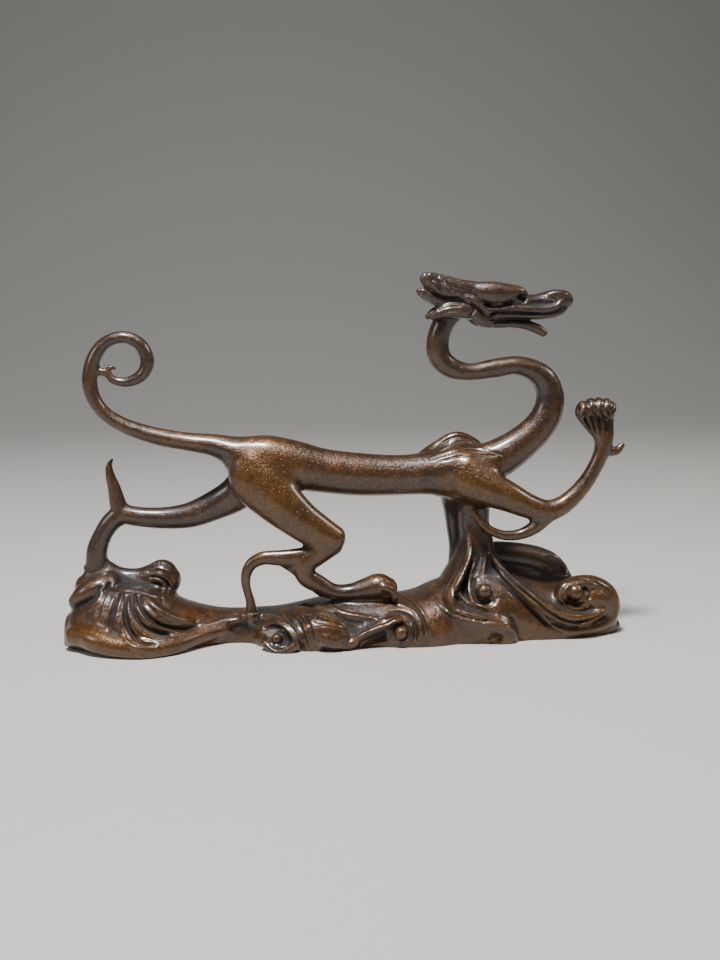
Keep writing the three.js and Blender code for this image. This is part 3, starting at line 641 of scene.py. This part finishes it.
def carve_waves(wax):
    """The folds, petals and rolled crests on the front of the waves."""
    wax.face()
    cut = lift = wax.stroke     # a cut has a negative height
    # rear: a lobe, petals that fan out below the paw, and a plain band under them
    cut([(-66.8, 9.4), (-65.2, 10.4), (-63, 11.4), (-61, 12.8)], -0.4, 0.9)
    lift([(-62.6, 9.5), (-61.2, 10.9), (-59.8, 13), (-58.5, 15.6)], 0.6, 0.9)
    cut([(-60.4, 8.8), (-59.5, 11.1), (-58.4, 13.5), (-57.4, 15.9)], -0.7, 0.7)
    lift([(-58.2, 7.5), (-58.7, 9.7), (-58.4, 11.8), (-57.3, 14.2), (-56.5, 16)], 0.6, 0.8)
    cut([(-56.9, 5.8), (-56.9, 8.7), (-56.4, 11.3), (-55.3, 14.2)], -0.9, 0.75)
    lift([(-56, 6.3), (-55.4, 8.9), (-54.8, 11.8), (-54.1, 14.1)], 0.4, 0.7)
    lift([(-54.9, 10.1), (-54.3, 7.3), (-52.8, 4.8), (-50.8, 3.4), (-48, 3)], 0.5, 0.5, 1.2)
    cut([(-53.1, 13.9), (-53.5, 11.1), (-52.9, 7.9), (-51.4, 5.5), (-48.7, 4.1), (-45.6, 3.6)],
        -1.1, 0.85)
    lift([(-52.7, 13.9), (-52.5, 11), (-51.1, 7.7), (-48.3, 5.3), (-44.6, 4.4), (-41, 4.2)],
         0.6, 0.6)
    cut([(-52, 13.9), (-51.1, 10.5), (-49.1, 7.6), (-45.9, 5.8), (-42.3, 4.8)], -0.9, 0.7)
    lift([(-51.5, 14), (-50.1, 11), (-47.5, 8), (-44.1, 6.2), (-40.9, 5.3)], 0.6, 0.6)
    cut([(-50.6, 13.8), (-48.8, 10.5), (-45.9, 8), (-42.3, 6.3), (-38.6, 5.4), (-35.8, 5.6)],
        -1.2, 0.95)
    lift([(-49.4, 13.5), (-45, 10.1), (-40.4, 7.4), (-36.8, 6.5)], 0.8, 2, 1)
    lift([(-57.6, 15.4), (-54, 14.6), (-50, 14), (-46.6, 13.2), (-43.4, 12.4)], 0.4, 0.8)
    # the sharp edge of the low ridge, and the hollow round its bead
    lift([(-34, 5.4), (-28, 6.6), (-23.4, 7.4), (-20.5, 7.6), (-17.2, 6.8), (-14.6, 5.2),
          (-12.9, 2.8), (-13.4, 1)], 0.35, 0.6)
    cut([(-20.6, 4.6), (-18, 5.4), (-15.6, 5), (-14.6, 3.4), (-15.3, 1.9), (-17.2, 1.3),
         (-19, 2.2)], -0.8, 0.7, taper=0.08)
    # toes of the far hind paw
    for toe in ([(-48.8, 18.4), (-46, 19.2), (-43.4, 18.2), (-42, 16.4)],
                [(-49, 17.2), (-46, 17.7), (-43.4, 16.4), (-42.2, 14)],
                [(-48.6, 15.9), (-46.2, 16), (-44, 14.6), (-43.2, 12)],
                [(-47.8, 14.4), (-46, 14.2), (-44.8, 12.8), (-44.4, 10.8)]):
        cut(toe, -0.7, 0.5)
    # between the first crest and the bulge
    cut([(-15.5, 7.6), (-13.2, 6.6), (-11.8, 4.6), (-11.2, 2), (-10.8, 0)], -0.9, 0.8)
    lift([(-13, 8.2), (-11.2, 6.8), (-10.3, 5), (-9.6, 3.2), (-9.3, 0.6)], 0.6, 0.7)
    cut([(-11.8, 8.6), (-9.8, 7), (-8.9, 5), (-8.6, 3)], -0.6, 0.7)
    # long folds on top, below the near hind foot
    cut([(-11.6, 9), (-8.2, 9.3), (-5, 9), (-2.4, 8), (0.4, 6.7), (4, 5.9)], -0.8, 0.9)
    lift([(-10.2, 8.3), (-7.6, 8.2), (-5.2, 7.8), (-2.6, 7.1), (-0.4, 6.3), (2.6, 5.8)], 0.5, 0.6)
    cut([(-8.4, 7.5), (-5.4, 7.2), (-2.6, 6.4), (0, 5.5)], -0.5, 0.6)
    lift([(-4.8, 10.2), (-3.2, 9.1), (-0.6, 8.1), (2.4, 7.4), (6.2, 6.9), (9.6, 7.2)],
         0.6, 1.4, 0.6)
    lift([(-8, 6.3), (-5, 6.2), (-1.8, 5.3), (0.2, 4.8)], 0.5, 0.6, 1.4)
    lift([(-7.4, 3.4), (-4.6, 3), (-1.6, 2)], 0.5, 3)
    # the second crest, which rises and rolls round its bead
    lift([(-1.3, 0.6), (0.6, 2.1), (2.6, 3.2), (5, 4.4), (7.4, 5.3), (9.6, 5.9), (11.6, 6.7),
          (13.6, 6.6), (14.9, 4.9), (14.8, 2.9), (13.2, 1.7), (11.6, 2.2)], 1.1, 0.8, 0.8)
    cut([(2.6, 0.8), (6.4, 2.4), (9.8, 3.2)], -0.7, 1.7)
    cut([(10, 8), (12.6, 8.3), (14.8, 7.8), (16.3, 6), (16.6, 3.6), (16, 1.6)], -0.8, 0.8)
    lift([(9.4, 9.2), (12, 9.7), (14.6, 9.3), (16.6, 8.3), (17.6, 6.4), (17.8, 4), (17, 1.4)],
         0.5, 0.6)
    cut([(12, 10.6), (15, 10.4), (17.4, 8.6), (18.8, 6), (19.2, 3)], -0.6, 0.7)
    lift([(14.8, 10.6), (17.4, 9.8), (19, 7.6), (19.9, 5.2), (20.4, 2.4), (20.5, 0.4)],
         0.6, 0.6, 0.8)
    # front: cloth-like folds down the pillar, and the broad crest below it
    lift([(32.7, 23.5), (31, 20.1), (29.3, 17.1), (27.1, 13.8), (25.8, 10.8), (26.4, 8.2)],
         0.6, 0.8)
    cut([(32.6, 20), (31, 17.4), (29.8, 14.6), (29.4, 12.4), (30.4, 10)], -1.3, 1.2)
    lift([(36.4, 22), (35.9, 19.7), (35.2, 17.2), (34.8, 15.4)], 0.5, 0.8)
    cut([(34.6, 21), (33.6, 18.6), (32.4, 16)], -0.6, 0.8)
    lift([(24, 14.4), (22.8, 12), (22.7, 10.2), (23.8, 8.8), (25.6, 7.5), (28.4, 6.7), (32, 6),
          (35.6, 5.6)], 0.6, 0.6)
    cut([(24.2, 12.6), (24.3, 10.4), (26, 8.6), (28.8, 7.3), (32.4, 6.5), (35.6, 6.1)], -0.6, 0.5)
    cut([(27, 14.4), (27.4, 11.8), (29.2, 10), (31.6, 9), (34.4, 8.2), (37, 7.4)], -0.8, 1.2)
    lift([(27.4, 9.4), (30, 8), (33, 7.2), (36.4, 6.8)], 0.5, 0.6)
    cut([(32.4, 15.4), (31.5, 13.2), (32.2, 11), (34, 10.2), (36.2, 10.8)], -1, 0.9)
    lift([(32.2, 9.6), (34.6, 8.9), (37, 9.4), (38, 11)], 0.45, 0.8)
    lift([(33, 6), (36.7, 5.2), (40.1, 4.1), (41.6, 1.9), (41, 0.2)], 0.7, 0.8)
    cut([(34.6, 1.2), (36.2, 2.3), (37.8, 2), (38.2, 1)], -0.4, 0.7)
    cut([(40.4, 7), (41.8, 5), (42.8, 3), (43.5, 1), (44, 0)], -0.7, 1.1)
    # front: the swirl of three ridges that rolls up into the last bead
    cut([(38.6, 15.6), (42, 11.8), (45.4, 8.4), (48.6, 5.4), (51.6, 2.8), (55, 1.4)], -0.7, 0.8)
    lift([(37.8, 17.6), (40.4, 15), (43.5, 12.2), (46.6, 9.5), (49.8, 6.7), (52.9, 5),
          (56.4, 4), (59.8, 4.4), (63, 5.4), (65.4, 6.8)], 0.7, 0.55)
    cut([(38.4, 17.9), (41.6, 14.7), (44.7, 12), (47.5, 9.8), (50.6, 7.3), (53.8, 5.5),
         (57.1, 4.7), (60.8, 5.1), (64, 6.2)], -0.7, 0.5)
    lift([(39, 18.6), (42, 15.4), (45, 12.8), (48, 10.6), (50.9, 8.4), (54, 6.5), (57.2, 5.7),
          (61.2, 5.9), (64.8, 7.2)], 0.8, 0.55)
    cut([(44, 14.4), (46.4, 12.2), (49, 10.4), (52, 8.4), (55, 7), (58, 6.5), (61.6, 6.8)],
        -0.6, 0.55)
    # the hollow round the last bead
    cut([(55.6, 14), (54.2, 12.6), (54.2, 10.6), (55.8, 8.9), (58.4, 8.4), (60.6, 9)], -0.5, 0.7)
    lift([(54.2, 9.2), (56, 7.8), (58.6, 7.2), (61.4, 7.8)], 0.35, 0.6)
    cut([(59.8, 12.6), (61.2, 11.4), (61.2, 9.6)], -0.5, 0.7)
    cut([(62.4, 12.4), (64.8, 12), (66.8, 10.2)], -0.3, 0.6)
    cut([(55.4, 14.3), (58, 15), (61.6, 14.4), (65, 12.8)], -0.3, 0.6)


def carve_back(wax):
    """Plainer folds on the side of the waves that is turned away."""
    wax.face()
    for height, width, line in (
            (-0.9, 1.7, [(-62, 10), (-56, 7.6), (-49, 7.8), (-41, 5.8), (-33, 3), (-27, 1.6)]),
            (0.6, 1.5, [(-60, 6.6), (-52, 4.6), (-45, 4.4), (-37, 2.4)]),
            (-0.8, 1.5, [(-52, 11.4), (-45, 8.4), (-37, 7.2), (-29, 6.2), (-22, 4)]),
            (-0.8, 1.5, [(-17, 7), (-10, 5.6), (-3, 5.4), (5, 3.4), (12, 1)]),
            (0.6, 1.4, [(-14, 3.8), (-6, 3), (2, 1)]),
            (-0.9, 1.6, [(14, 8.6), (21, 9.4), (28, 8), (37, 7.4), (46, 4.6), (54, 1.6)]),
            (0.6, 1.5, [(18, 5.8), (27, 5), (36, 3.6), (43, 1)]),
            (-0.9, 1.6, [(40, 13), (48, 11), (55, 10.4), (61, 8), (64, 4)]),
            (0.6, 1.5, [(46, 9), (54, 7.4), (60, 4.6)])):
        wax.stroke(line, height, width, side="back")


def carve_animal(wax):
    """The crease behind the shoulder, the mane over it and the sinews of the raised paw."""
    wax.face()
    wax.stroke([(24.9, 43.4), (25.8, 40.4), (26, 37.6), (25.4, 34)], -0.55, 2.2, taper=0.4)
    for line in ([(21.4, 46.4), (25, 48.4), (29.2, 50), (33.2, 49.2), (35.6, 47.6)],
                 [(20.8, 45.6), (25.2, 47.5), (30, 48.9), (34.2, 48.1), (37.8, 46.6)],
                 [(21, 44.9), (26.4, 46.7), (31.2, 47.6), (36, 47), (39.8, 45.8)],
                 [(23, 44.6), (28.4, 45.9), (33.2, 46.2), (38.4, 45.8)]):
        wax.stroke(line, -0.36, 0.5)
    for line in ([(58.9, 57.6), (59.8, 55), (61.4, 51.6)], [(61, 58), (61.5, 55), (62.4, 51.2)],
                 [(63, 58), (63.3, 55), (63.6, 51)], [(64.8, 57.6), (65, 55), (64.9, 51.2)]):
        wax.stroke(line, -0.5, 0.5)


def carve_head(wax):
    """Hair lines, hollows and lips, the same on both sides of the head."""
    wax.face()

    def both(line, height, width):
        laid = wax.laid_on(line)
        wax.stroke(laid, height, width)
        wax.stroke(laid * (1, -1, 1), height, width)

    # locks of the ear
    both([(22.2, 88.8), (22.9, 87.4), (23.8, 86)], -0.45, 0.6)
    both([(21.4, 88.6), (22, 87.4), (22.8, 86.2)], 0.25, 0.6)
    both([(24.6, 89), (25.3, 87.4), (26.4, 85.8)], -0.5, 0.7)
    both([(23.2, 89.2), (24, 87.6), (24.8, 86)], 0.35, 0.6)
    for drop in range(5):
        both([(20.9, 90.6 - 0.45 * drop), (24.6, 89.8 - 0.5 * drop), (28.8, 88.5 - 0.55 * drop)],
             -0.45, 0.34)
    both([(27, 89.2), (28.4, 88.4), (29.8, 87.4), (30.6, 86.6)], 0.3, 0.4)
    # fine hair behind the brow
    for drop in range(3):
        both([(28.4, 87.4 - 0.8 * drop), (30.6, 87 - 0.7 * drop), (32.8, 85.6 - 0.5 * drop)],
             -0.35, 0.34)
    # between the ear and the lock below it
    both([(20.4, 86.8), (22.4, 85.2), (25, 84.4), (28, 84.4)], -0.7, 0.6)
    # the lower lock
    both([(22.6, 80.3), (25.2, 81.2), (28.4, 81.4)], -0.35, 0.45)
    both([(22.6, 81.4), (25, 82.4), (28.4, 82.6)], -0.3, 0.4)
    both([(30.6, 80), (31.6, 82), (30.4, 83.4)], -0.5, 0.6)
    # brow, cheek and the hollow between them
    both([(32.2, 84.4), (34, 83.2), (36.4, 82.5), (39, 82.7), (40.8, 83.6)], -0.7, 0.7)
    both([(34, 83), (35.4, 82.5)], -0.5, 0.8)
    both([(31.2, 82.9), (33, 81.3), (34.6, 79.8)], -0.4, 0.7)
    # the flat before the brow, the tooth arch and the mouth
    both([(42.6, 84.4), (44.2, 84.4), (44.2, 83.2)], -0.7, 0.9)
    both([(42.6, 85.2), (43.6, 84.9), (44.8, 84.9)], -0.6, 0.5)
    both([(41, 82.6), (41.1, 83.8), (41.7, 84.7), (42.4, 84), (42.6, 82.8)], -0.6, 0.35)
    both([(45.6, 83.3), (47.6, 83.2), (49.6, 83.3)], -0.35, 1.1)
    both([(50.6, 84.6), (51.9, 84.4), (52.4, 83.4)], -0.5, 0.5)
    both([(35.6, 80.4), (37.6, 81), (40.6, 81.1), (44.3, 80.8), (48.1, 80.6), (51.3, 80.8),
          (53.6, 81.8)], -0.55, 0.4)
    both([(34.8, 79), (38.1, 79.2), (43.1, 79.1), (47.6, 78.8)], -0.7, 0.4)


def above(values, start, length):
    """0 up to start, and a rise to 1 over the length above it."""
    return np.clip((values - start) / length, 0, 1)


def below(values, start, length):
    """0 down to start, and a rise to 1 over the length below it."""
    return np.clip((start - values) / length, 0, 1)


def spots(x, z, places):
    """How strongly points seen from the side lie in places that fade out round them."""
    strength = np.zeros(len(x))
    for (middle_x, middle_z), (across, up), amount in places:
        off = ((x - middle_x) / across) ** 2 + ((z - middle_z) / up) ** 2
        strength = np.maximum(strength, amount * np.exp(-off))
    return strength


def model_forms(figure):
    """The animal and the waves under it, run into each other as in soft wax."""
    waves = bmesh.new()
    base_body(waves)
    pillar(waves)
    crests(waves, front_of(waves))
    core = bmesh.new()
    press_on(core, waves)
    for part in (body, tail, neck, near_hind_leg, far_hind_leg, raised_foreleg, far_foreleg):
        part(core)
    for vert in core.verts:
        vert.co.z = max(vert.co.z, CUT_BELOW)
    core.to_mesh(figure.data)
    core.free()
    remesh(figure, ROUGH_VOXEL)
    wax = Wax(figure.data)
    wax.relax(3)
    x, _, z = wax.points.T
    trunk = above(z, 24, 6) * below(z, 74, 6)
    trunk *= below(x, 58, 6) * above(x, -50, 8)
    joints = spots(x, z, JOINTS)
    folds = below(z, 21, 4)
    wax.fill_creases(6, 0.35 + 0.65 * trunk)
    wax.fill_creases(34, np.maximum(trunk, folds * 0.35))
    wax.fill_creases(70, joints)
    wax.relax(6, 0.3 + 0.7 * trunk)
    wax.store()


def beads(wax):
    """The round beads that the crests roll round."""
    ball(wax, -17.2, -11.9, 2.9, 1.35)
    ball(wax, 12.9, -13.2, 3.9, 1.6)
    ball(wax, 34.2, -9.6, 12.8, 1.9)
    ball(wax, 57.9, -7.9, 11.3, 2.1)


def cast_figure():
    """Models the wax, carves it and casts it as one closed mesh in metres."""
    figure = bpy.data.objects.new("bronze_dragon", bpy.data.meshes.new("bronze_dragon"))
    bpy.context.collection.objects.link(figure)
    model_forms(figure)
    core = bmesh.new()
    core.from_mesh(figure.data)
    for part in (beads, paws, skull, ruff):
        part(core)
    core.to_mesh(figure.data)
    core.free()
    remesh(figure, VOXEL)
    wax = Wax(figure.data)
    wax.relax(3)
    wax.fill_creases(4, 0.35)
    wax.relax(1)
    carve_waves(wax)
    carve_back(wax)
    carve_head(wax)
    carve_animal(wax)
    wax.relax(1)
    wax.store()
    cut_underside(figure)
    thin = figure.modifiers.new("thin", "DECIMATE")
    thin.ratio = min(1.0, MOST_TRIANGLES / len(wax.faces))
    apply_modifiers(figure)
    mesh = figure.data
    coords = np.empty(len(mesh.vertices) * 3)
    mesh.vertices.foreach_get("co", coords)
    coords = coords.reshape(-1, 3) * MM + PLACE
    mesh.vertices.foreach_set("co", coords.ravel())
    for polygon in mesh.polygons:
        polygon.use_smooth = True
    mesh.update()
    return figure


def drop_loose_shells(bm):
    """Keeps the one casting, and drops specks and bubbles that aren't joined to it."""
    shells = []
    for vert in bm.verts:
        vert.tag = False
    for vert in bm.verts:
        if vert.tag:
            continue
        vert.tag = True
        shell = [vert]
        for member in shell:
            for edge in member.link_edges:
                other = edge.other_vert(member)
                if not other.tag:
                    other.tag = True
                    shell.append(other)
        shells.append(shell)
    shells.sort(key=len)
    bmesh.ops.delete(bm, geom=[vert for shell in shells[:-1] for vert in shell], context="VERTS")


def cut_underside(figure):
    """Cuts the casting off flat where it stands."""
    bm = bmesh.new()
    bm.from_mesh(figure.data)
    whole = bm.verts[:] + bm.edges[:] + bm.faces[:]
    bmesh.ops.bisect_plane(bm, geom=whole, dist=1e-5, plane_co=(0, 0, 0), plane_no=(0, 0, 1),
                           clear_inner=True)
    rim = [edge for edge in bm.edges if edge.is_boundary]
    bmesh.ops.holes_fill(bm, edges=rim, sides=0)
    bmesh.ops.triangulate(bm, faces=[face for face in bm.faces if len(face.verts) > 4])
    drop_loose_shells(bm)
    bmesh.ops.recalc_face_normals(bm, faces=bm.faces)
    bm.to_mesh(figure.data)
    bm.free()


# ---------------------------------------------------------------------------
# Bronze
# ---------------------------------------------------------------------------
def mark_wear_and_shade(figure):
    """Marks the casting's hollows and crests, where it is rubbed, where its neck and head are
    smoked, and where painted shade darkens its far side.
    """
    wax = Wax(figure.data)
    cast = wax.points.copy()
    normals = wax.normals()
    # a hollow fills and a crest sinks as the surface evens out, fine relief before broad
    few, many = 8, 48
    depth = {}
    for times in range(1, many + 1):
        wax.points += 0.6 * wax.towards_neighbours()
        if times in (few, many):
            depth[times] = ((wax.points - cast) * normals).sum(axis=1) / MM
    fine = wax.spread(depth[few], 2)
    broad = wax.spread(depth[many], 4)
    x, y, z = (cast - PLACE).T / MM
    # painted shade: the far side below the back is darkened as if it lay in shadow
    far_side_shade = above(y, 0.5, 2) * below(z, 40, 4)
    # smoke darkens the neck and head; the far limbs get painted shade
    smoke_and_shade = np.maximum(spots(x, z, FAR_SHADE_SPOTS), above(z, 52, 26) * 0.8)
    marks = {
        "hollow": above(fine, 0, 0.13) * 0.65 + above(broad, 0, 0.4) * 0.55,
        "crest": below(fine, 0, 0.1) * 0.8 + below(broad, 0, 0.5) * 0.3,
        # no rubbing where the far side is painted in shade
        "rubbed": spots(x, z, RUBBED) * (1 - far_side_shade),
        # smoke, and painted shade over the far side
        "smoke_and_shade": np.maximum(smoke_and_shade, far_side_shade * 0.9),
    }
    for name, values in marks.items():
        layer = figure.data.attributes.new(name, "FLOAT", "POINT")
        layer.data.foreach_set("value", np.clip(values, 0, 1).astype(np.float32))


class Wire:
    """One output of a material's nodes, with arithmetic and a way to add nodes."""

    def __init__(self, tree, socket=None):
        self.tree = tree
        self.socket = socket

    def node(self, kind, settings=None, output=0, **values):
        """Adds a node: its settings first, then the values or links of its sockets.

        A socket goes by its name, or by its number after an underscore.
        """
        made = self.tree.nodes.new("ShaderNode" + kind)
        for name, value in (settings or {}).items():
            setattr(made, name, value)
        for name, value in values.items():
            socket = made.inputs[int(name[1:]) if name[0] == "_" else name.replace("_", " ")]
            if isinstance(value, Wire):
                self.tree.links.new(value.socket, socket)
            else:
                socket.default_value = value
        return Wire(self.tree, made.outputs[output])

    def maths(self, operation, first, second=0.0, clamp=False):
        return self.node("Math", {"operation": operation, "use_clamp": clamp},
                         _0=first, _1=second)

    def __add__(self, other):
        return self.maths("ADD", self, other)

    def __sub__(self, other):
        return self.maths("SUBTRACT", self, other)

    def __rsub__(self, other):
        return self.maths("SUBTRACT", other, self)

    def __mul__(self, other):
        return self.maths("MULTIPLY", self, other)

    __radd__ = __add__
    __rmul__ = __mul__

    def clamped(self):
        return self.maths("ADD", self, 0.0, clamp=True)

    def between(self, low, high):
        """0 below low, 1 above high, and a smooth rise between them."""
        return self.node("MapRange", {"interpolation_type": "SMOOTHSTEP"}, _0=self, _1=low,
                         _2=high, _3=0.0, _4=1.0)

    def noise(self, scale, detail=3.0, roughness=0.55, distortion=0.0):
        return self.node("TexNoise", Vector=self, Scale=scale, Detail=detail,
                         Roughness=roughness, Distortion=distortion)

    def mark(self, name):
        """A value that mark_wear_and_shade has laid on the casting."""
        return self.node("Attribute", {"attribute_name": name}, output=2)

    def blend(self, share, first, second, kind="MIX"):
        return self.node("Mix", {"data_type": "RGBA", "blend_type": kind}, output=2,
                         _0=share, _6=first, _7=second)


def bronze():
    """Cast bronze under a dark brown patina, waxed to a satin gloss, with dirt and painted shade
    laid into its hollows and painted shade over its far side.
    """
    material = bpy.data.materials.new("patinated_bronze")
    material.use_nodes = True
    tree = material.node_tree
    shader = tree.nodes["Principled BSDF"]
    wire = Wire(tree)
    place = wire.node("TexCoord", output=3)
    hollow, crest = wire.mark("hollow"), wire.mark("crest")
    rubbed, smoke_and_shade = wire.mark("rubbed"), wire.mark("smoke_and_shade")
    clouds = place.noise(75.0, 6.0, 0.62, 0.7)     # patches of about 13 mm
    mottle = place.noise(380.0, 5.0, 0.7)          # of about 3 mm
    grain = place.noise(1150.0, 4.0, 0.65)         # of under 1 mm
    pits = place.node("TexVoronoi", {"feature": "F1"}, Vector=place, Scale=1500.0)

    brown = wire.blend(clouds.between(0.38, 0.62), DARK_BROWN, MID_BROWN)
    brown = wire.blend(mottle.between(0.45, 0.62) * 0.6, brown, RED_BROWN)
    worn = (rubbed * (clouds * 0.9 + 0.45) + crest * (mottle * 0.9)).clamped()
    brown = wire.blend(worn * (0.55 + mottle * 0.6), brown, GOLD_BROWN)
    # smoke on the neck and head, and painted shade on the far side and the far limbs
    brown = wire.blend((smoke_and_shade * (0.5 + mottle * 0.7)).clamped() * 0.8, brown, SMOKE_AND_SHADE_BROWN)
    rust = (clouds.between(0.52, 0.66) * mottle.between(0.44, 0.56)) * (1 - smoke_and_shade) * 0.6
    brown = wire.blend(rust, brown, ORANGE_BROWN)
    speckle = wire.blend(grain.between(0.35, 0.68), SPECKLE, (1, 1, 1, 1))
    brown = wire.blend(0.28, brown, speckle, "MULTIPLY")
    # dirt and painted shade in the hollows, deepest in the deepest ones
    dirt_and_shade = (hollow * (0.7 + mottle * 0.7)).between(0.12, 0.95)
    colour = wire.blend(dirt_and_shade * 0.9, brown, DIRT_AND_SHADE)
    rough = 0.38 + dirt_and_shade * 0.4 - worn * 0.04 + (mottle - 0.5) * 0.3 + (grain - 0.5) * 0.2
    metal = (0.28 + worn * 0.2 - dirt_and_shade * 0.4).clamped()
    wax_coat = (0.8 - dirt_and_shade * 1.6 + (grain - 0.5) * 1.6).clamped()
    relief = clouds * 0.8 + mottle * 0.6 + grain * 0.35 + pits.between(0.0, 0.35) * 0.2
    bump = wire.node("Bump", Strength=0.8, Distance=0.0005, Height=relief)
    shader.inputs["Coat Roughness"].default_value = 0.18
    shader.inputs["Coat IOR"].default_value = 1.5
    for name, value in (("Base Color", colour), ("Roughness", rough), ("Metallic", metal),
                        ("Coat Weight", wax_coat), ("Normal", bump)):
        tree.links.new(value.socket, shader.inputs[name])
    return material


# ---------------------------------------------------------------------------
# Stage
# ---------------------------------------------------------------------------
def stage():
    """A pale floor that sweeps up behind into a backdrop."""
    half, bend_starts, bend, steps, top = 1.6, 0.45, 0.5, 16, 2.2
    bm = bmesh.new()
    verts = [bm.verts.new((x, -half, 0)) for x in (-half, half)]
    edge = [bm.edges.new(verts)]
    path = [(bend_starts, 0.0)]
    path += [(bend_starts + bend * math.sin(turn), bend - bend * math.cos(turn))
             for turn in (math.pi / 2 * step / steps for step in range(1, steps + 1))]
    path += [(bend_starts + bend, top)]
    for y, z in path:
        grown = bmesh.ops.extrude_edge_only(bm, edges=edge)["geom"]
        for vert in (v for v in grown if isinstance(v, bmesh.types.BMVert)):
            vert.co = (vert.co.x, y, z)
        edge = [e for e in grown if isinstance(e, bmesh.types.BMEdge)
                and all(v.co.y == e.verts[0].co.y and v.co.z == e.verts[0].co.z
                        for v in e.verts)]
    bmesh.ops.recalc_face_normals(bm, faces=bm.faces)
    mesh = bpy.data.meshes.new("floor")
    bm.to_mesh(mesh)
    bm.free()
    for polygon in mesh.polygons:
        polygon.use_smooth = True
    floor = bpy.data.objects.new("floor", mesh)
    bpy.context.collection.objects.link(floor)
    paper = bpy.data.materials.new("pale_floor")
    paper.use_nodes = True
    shader = paper.node_tree.nodes["Principled BSDF"]
    shader.inputs["Base Color"].default_value = PAPER
    shader.inputs["Roughness"].default_value = 0.8
    mesh.materials.append(paper)


def area_light(name, place, aim, size, power, colour=(1, 1, 1)):
    data = bpy.data.lights.new(name, "AREA")
    data.shape = "RECTANGLE"
    data.size, data.size_y = size
    data.energy = power
    data.color = colour
    lamp = bpy.data.objects.new(name, data)
    bpy.context.collection.objects.link(lamp)
    lamp.location = place
    lamp.rotation_euler = (Vector(aim) - Vector(place)).to_track_quat("-Z", "Y").to_euler()


def lights():
    """A soft studio: even light all round, and three area lights, each with its watts."""
    world = bpy.data.worlds.new("studio")
    bpy.context.scene.world = world
    world.use_nodes = True
    even = world.node_tree.nodes["Background"].inputs
    even["Color"].default_value = (0.6, 0.62, 0.66, 1)
    even["Strength"].default_value = 0.17
    area_light("overhead", (-0.06, -0.16, 0.5), (0, 0, 0.03), (0.1, 0.075), 6.4, (0.94, 0.97, 1))
    area_light("left", (-0.55, -0.2, 0.32), (0, 0, 0.03), (0.2, 0.2), 0.9, (0.92, 0.96, 1))
    area_light("right", (0.5, -0.05, 0.4), (0, 0, 0.03), (0.14, 0.14), 1.0, (1, 0.97, 0.92))


def camera():
    """Looks a little down on the dragon, from in front and slightly to its rear."""
    yaw, pitch = math.radians(6), math.radians(9.3)
    distance, height, aside = 0.271, 0.084, 0.0043
    data = bpy.data.cameras.new("camera")
    data.sensor_width = 36
    data.lens = 41.25
    data.clip_start = 0.01
    eye = bpy.data.objects.new("camera", data)
    bpy.context.collection.objects.link(eye)
    eye.location = Vector(PLACE) + Vector((aside - distance * math.sin(yaw),
                                           -distance * math.cos(yaw), height))
    eye.rotation_euler = (math.pi / 2 - pitch, 0, -yaw)
    bpy.context.scene.camera = eye


dragon = cast_figure()
mark_wear_and_shade(dragon)
dragon.data.materials.clear()
dragon.data.materials.append(bronze())
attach(dragon, "root")
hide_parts(CASTING)
stage()
lights()
camera()
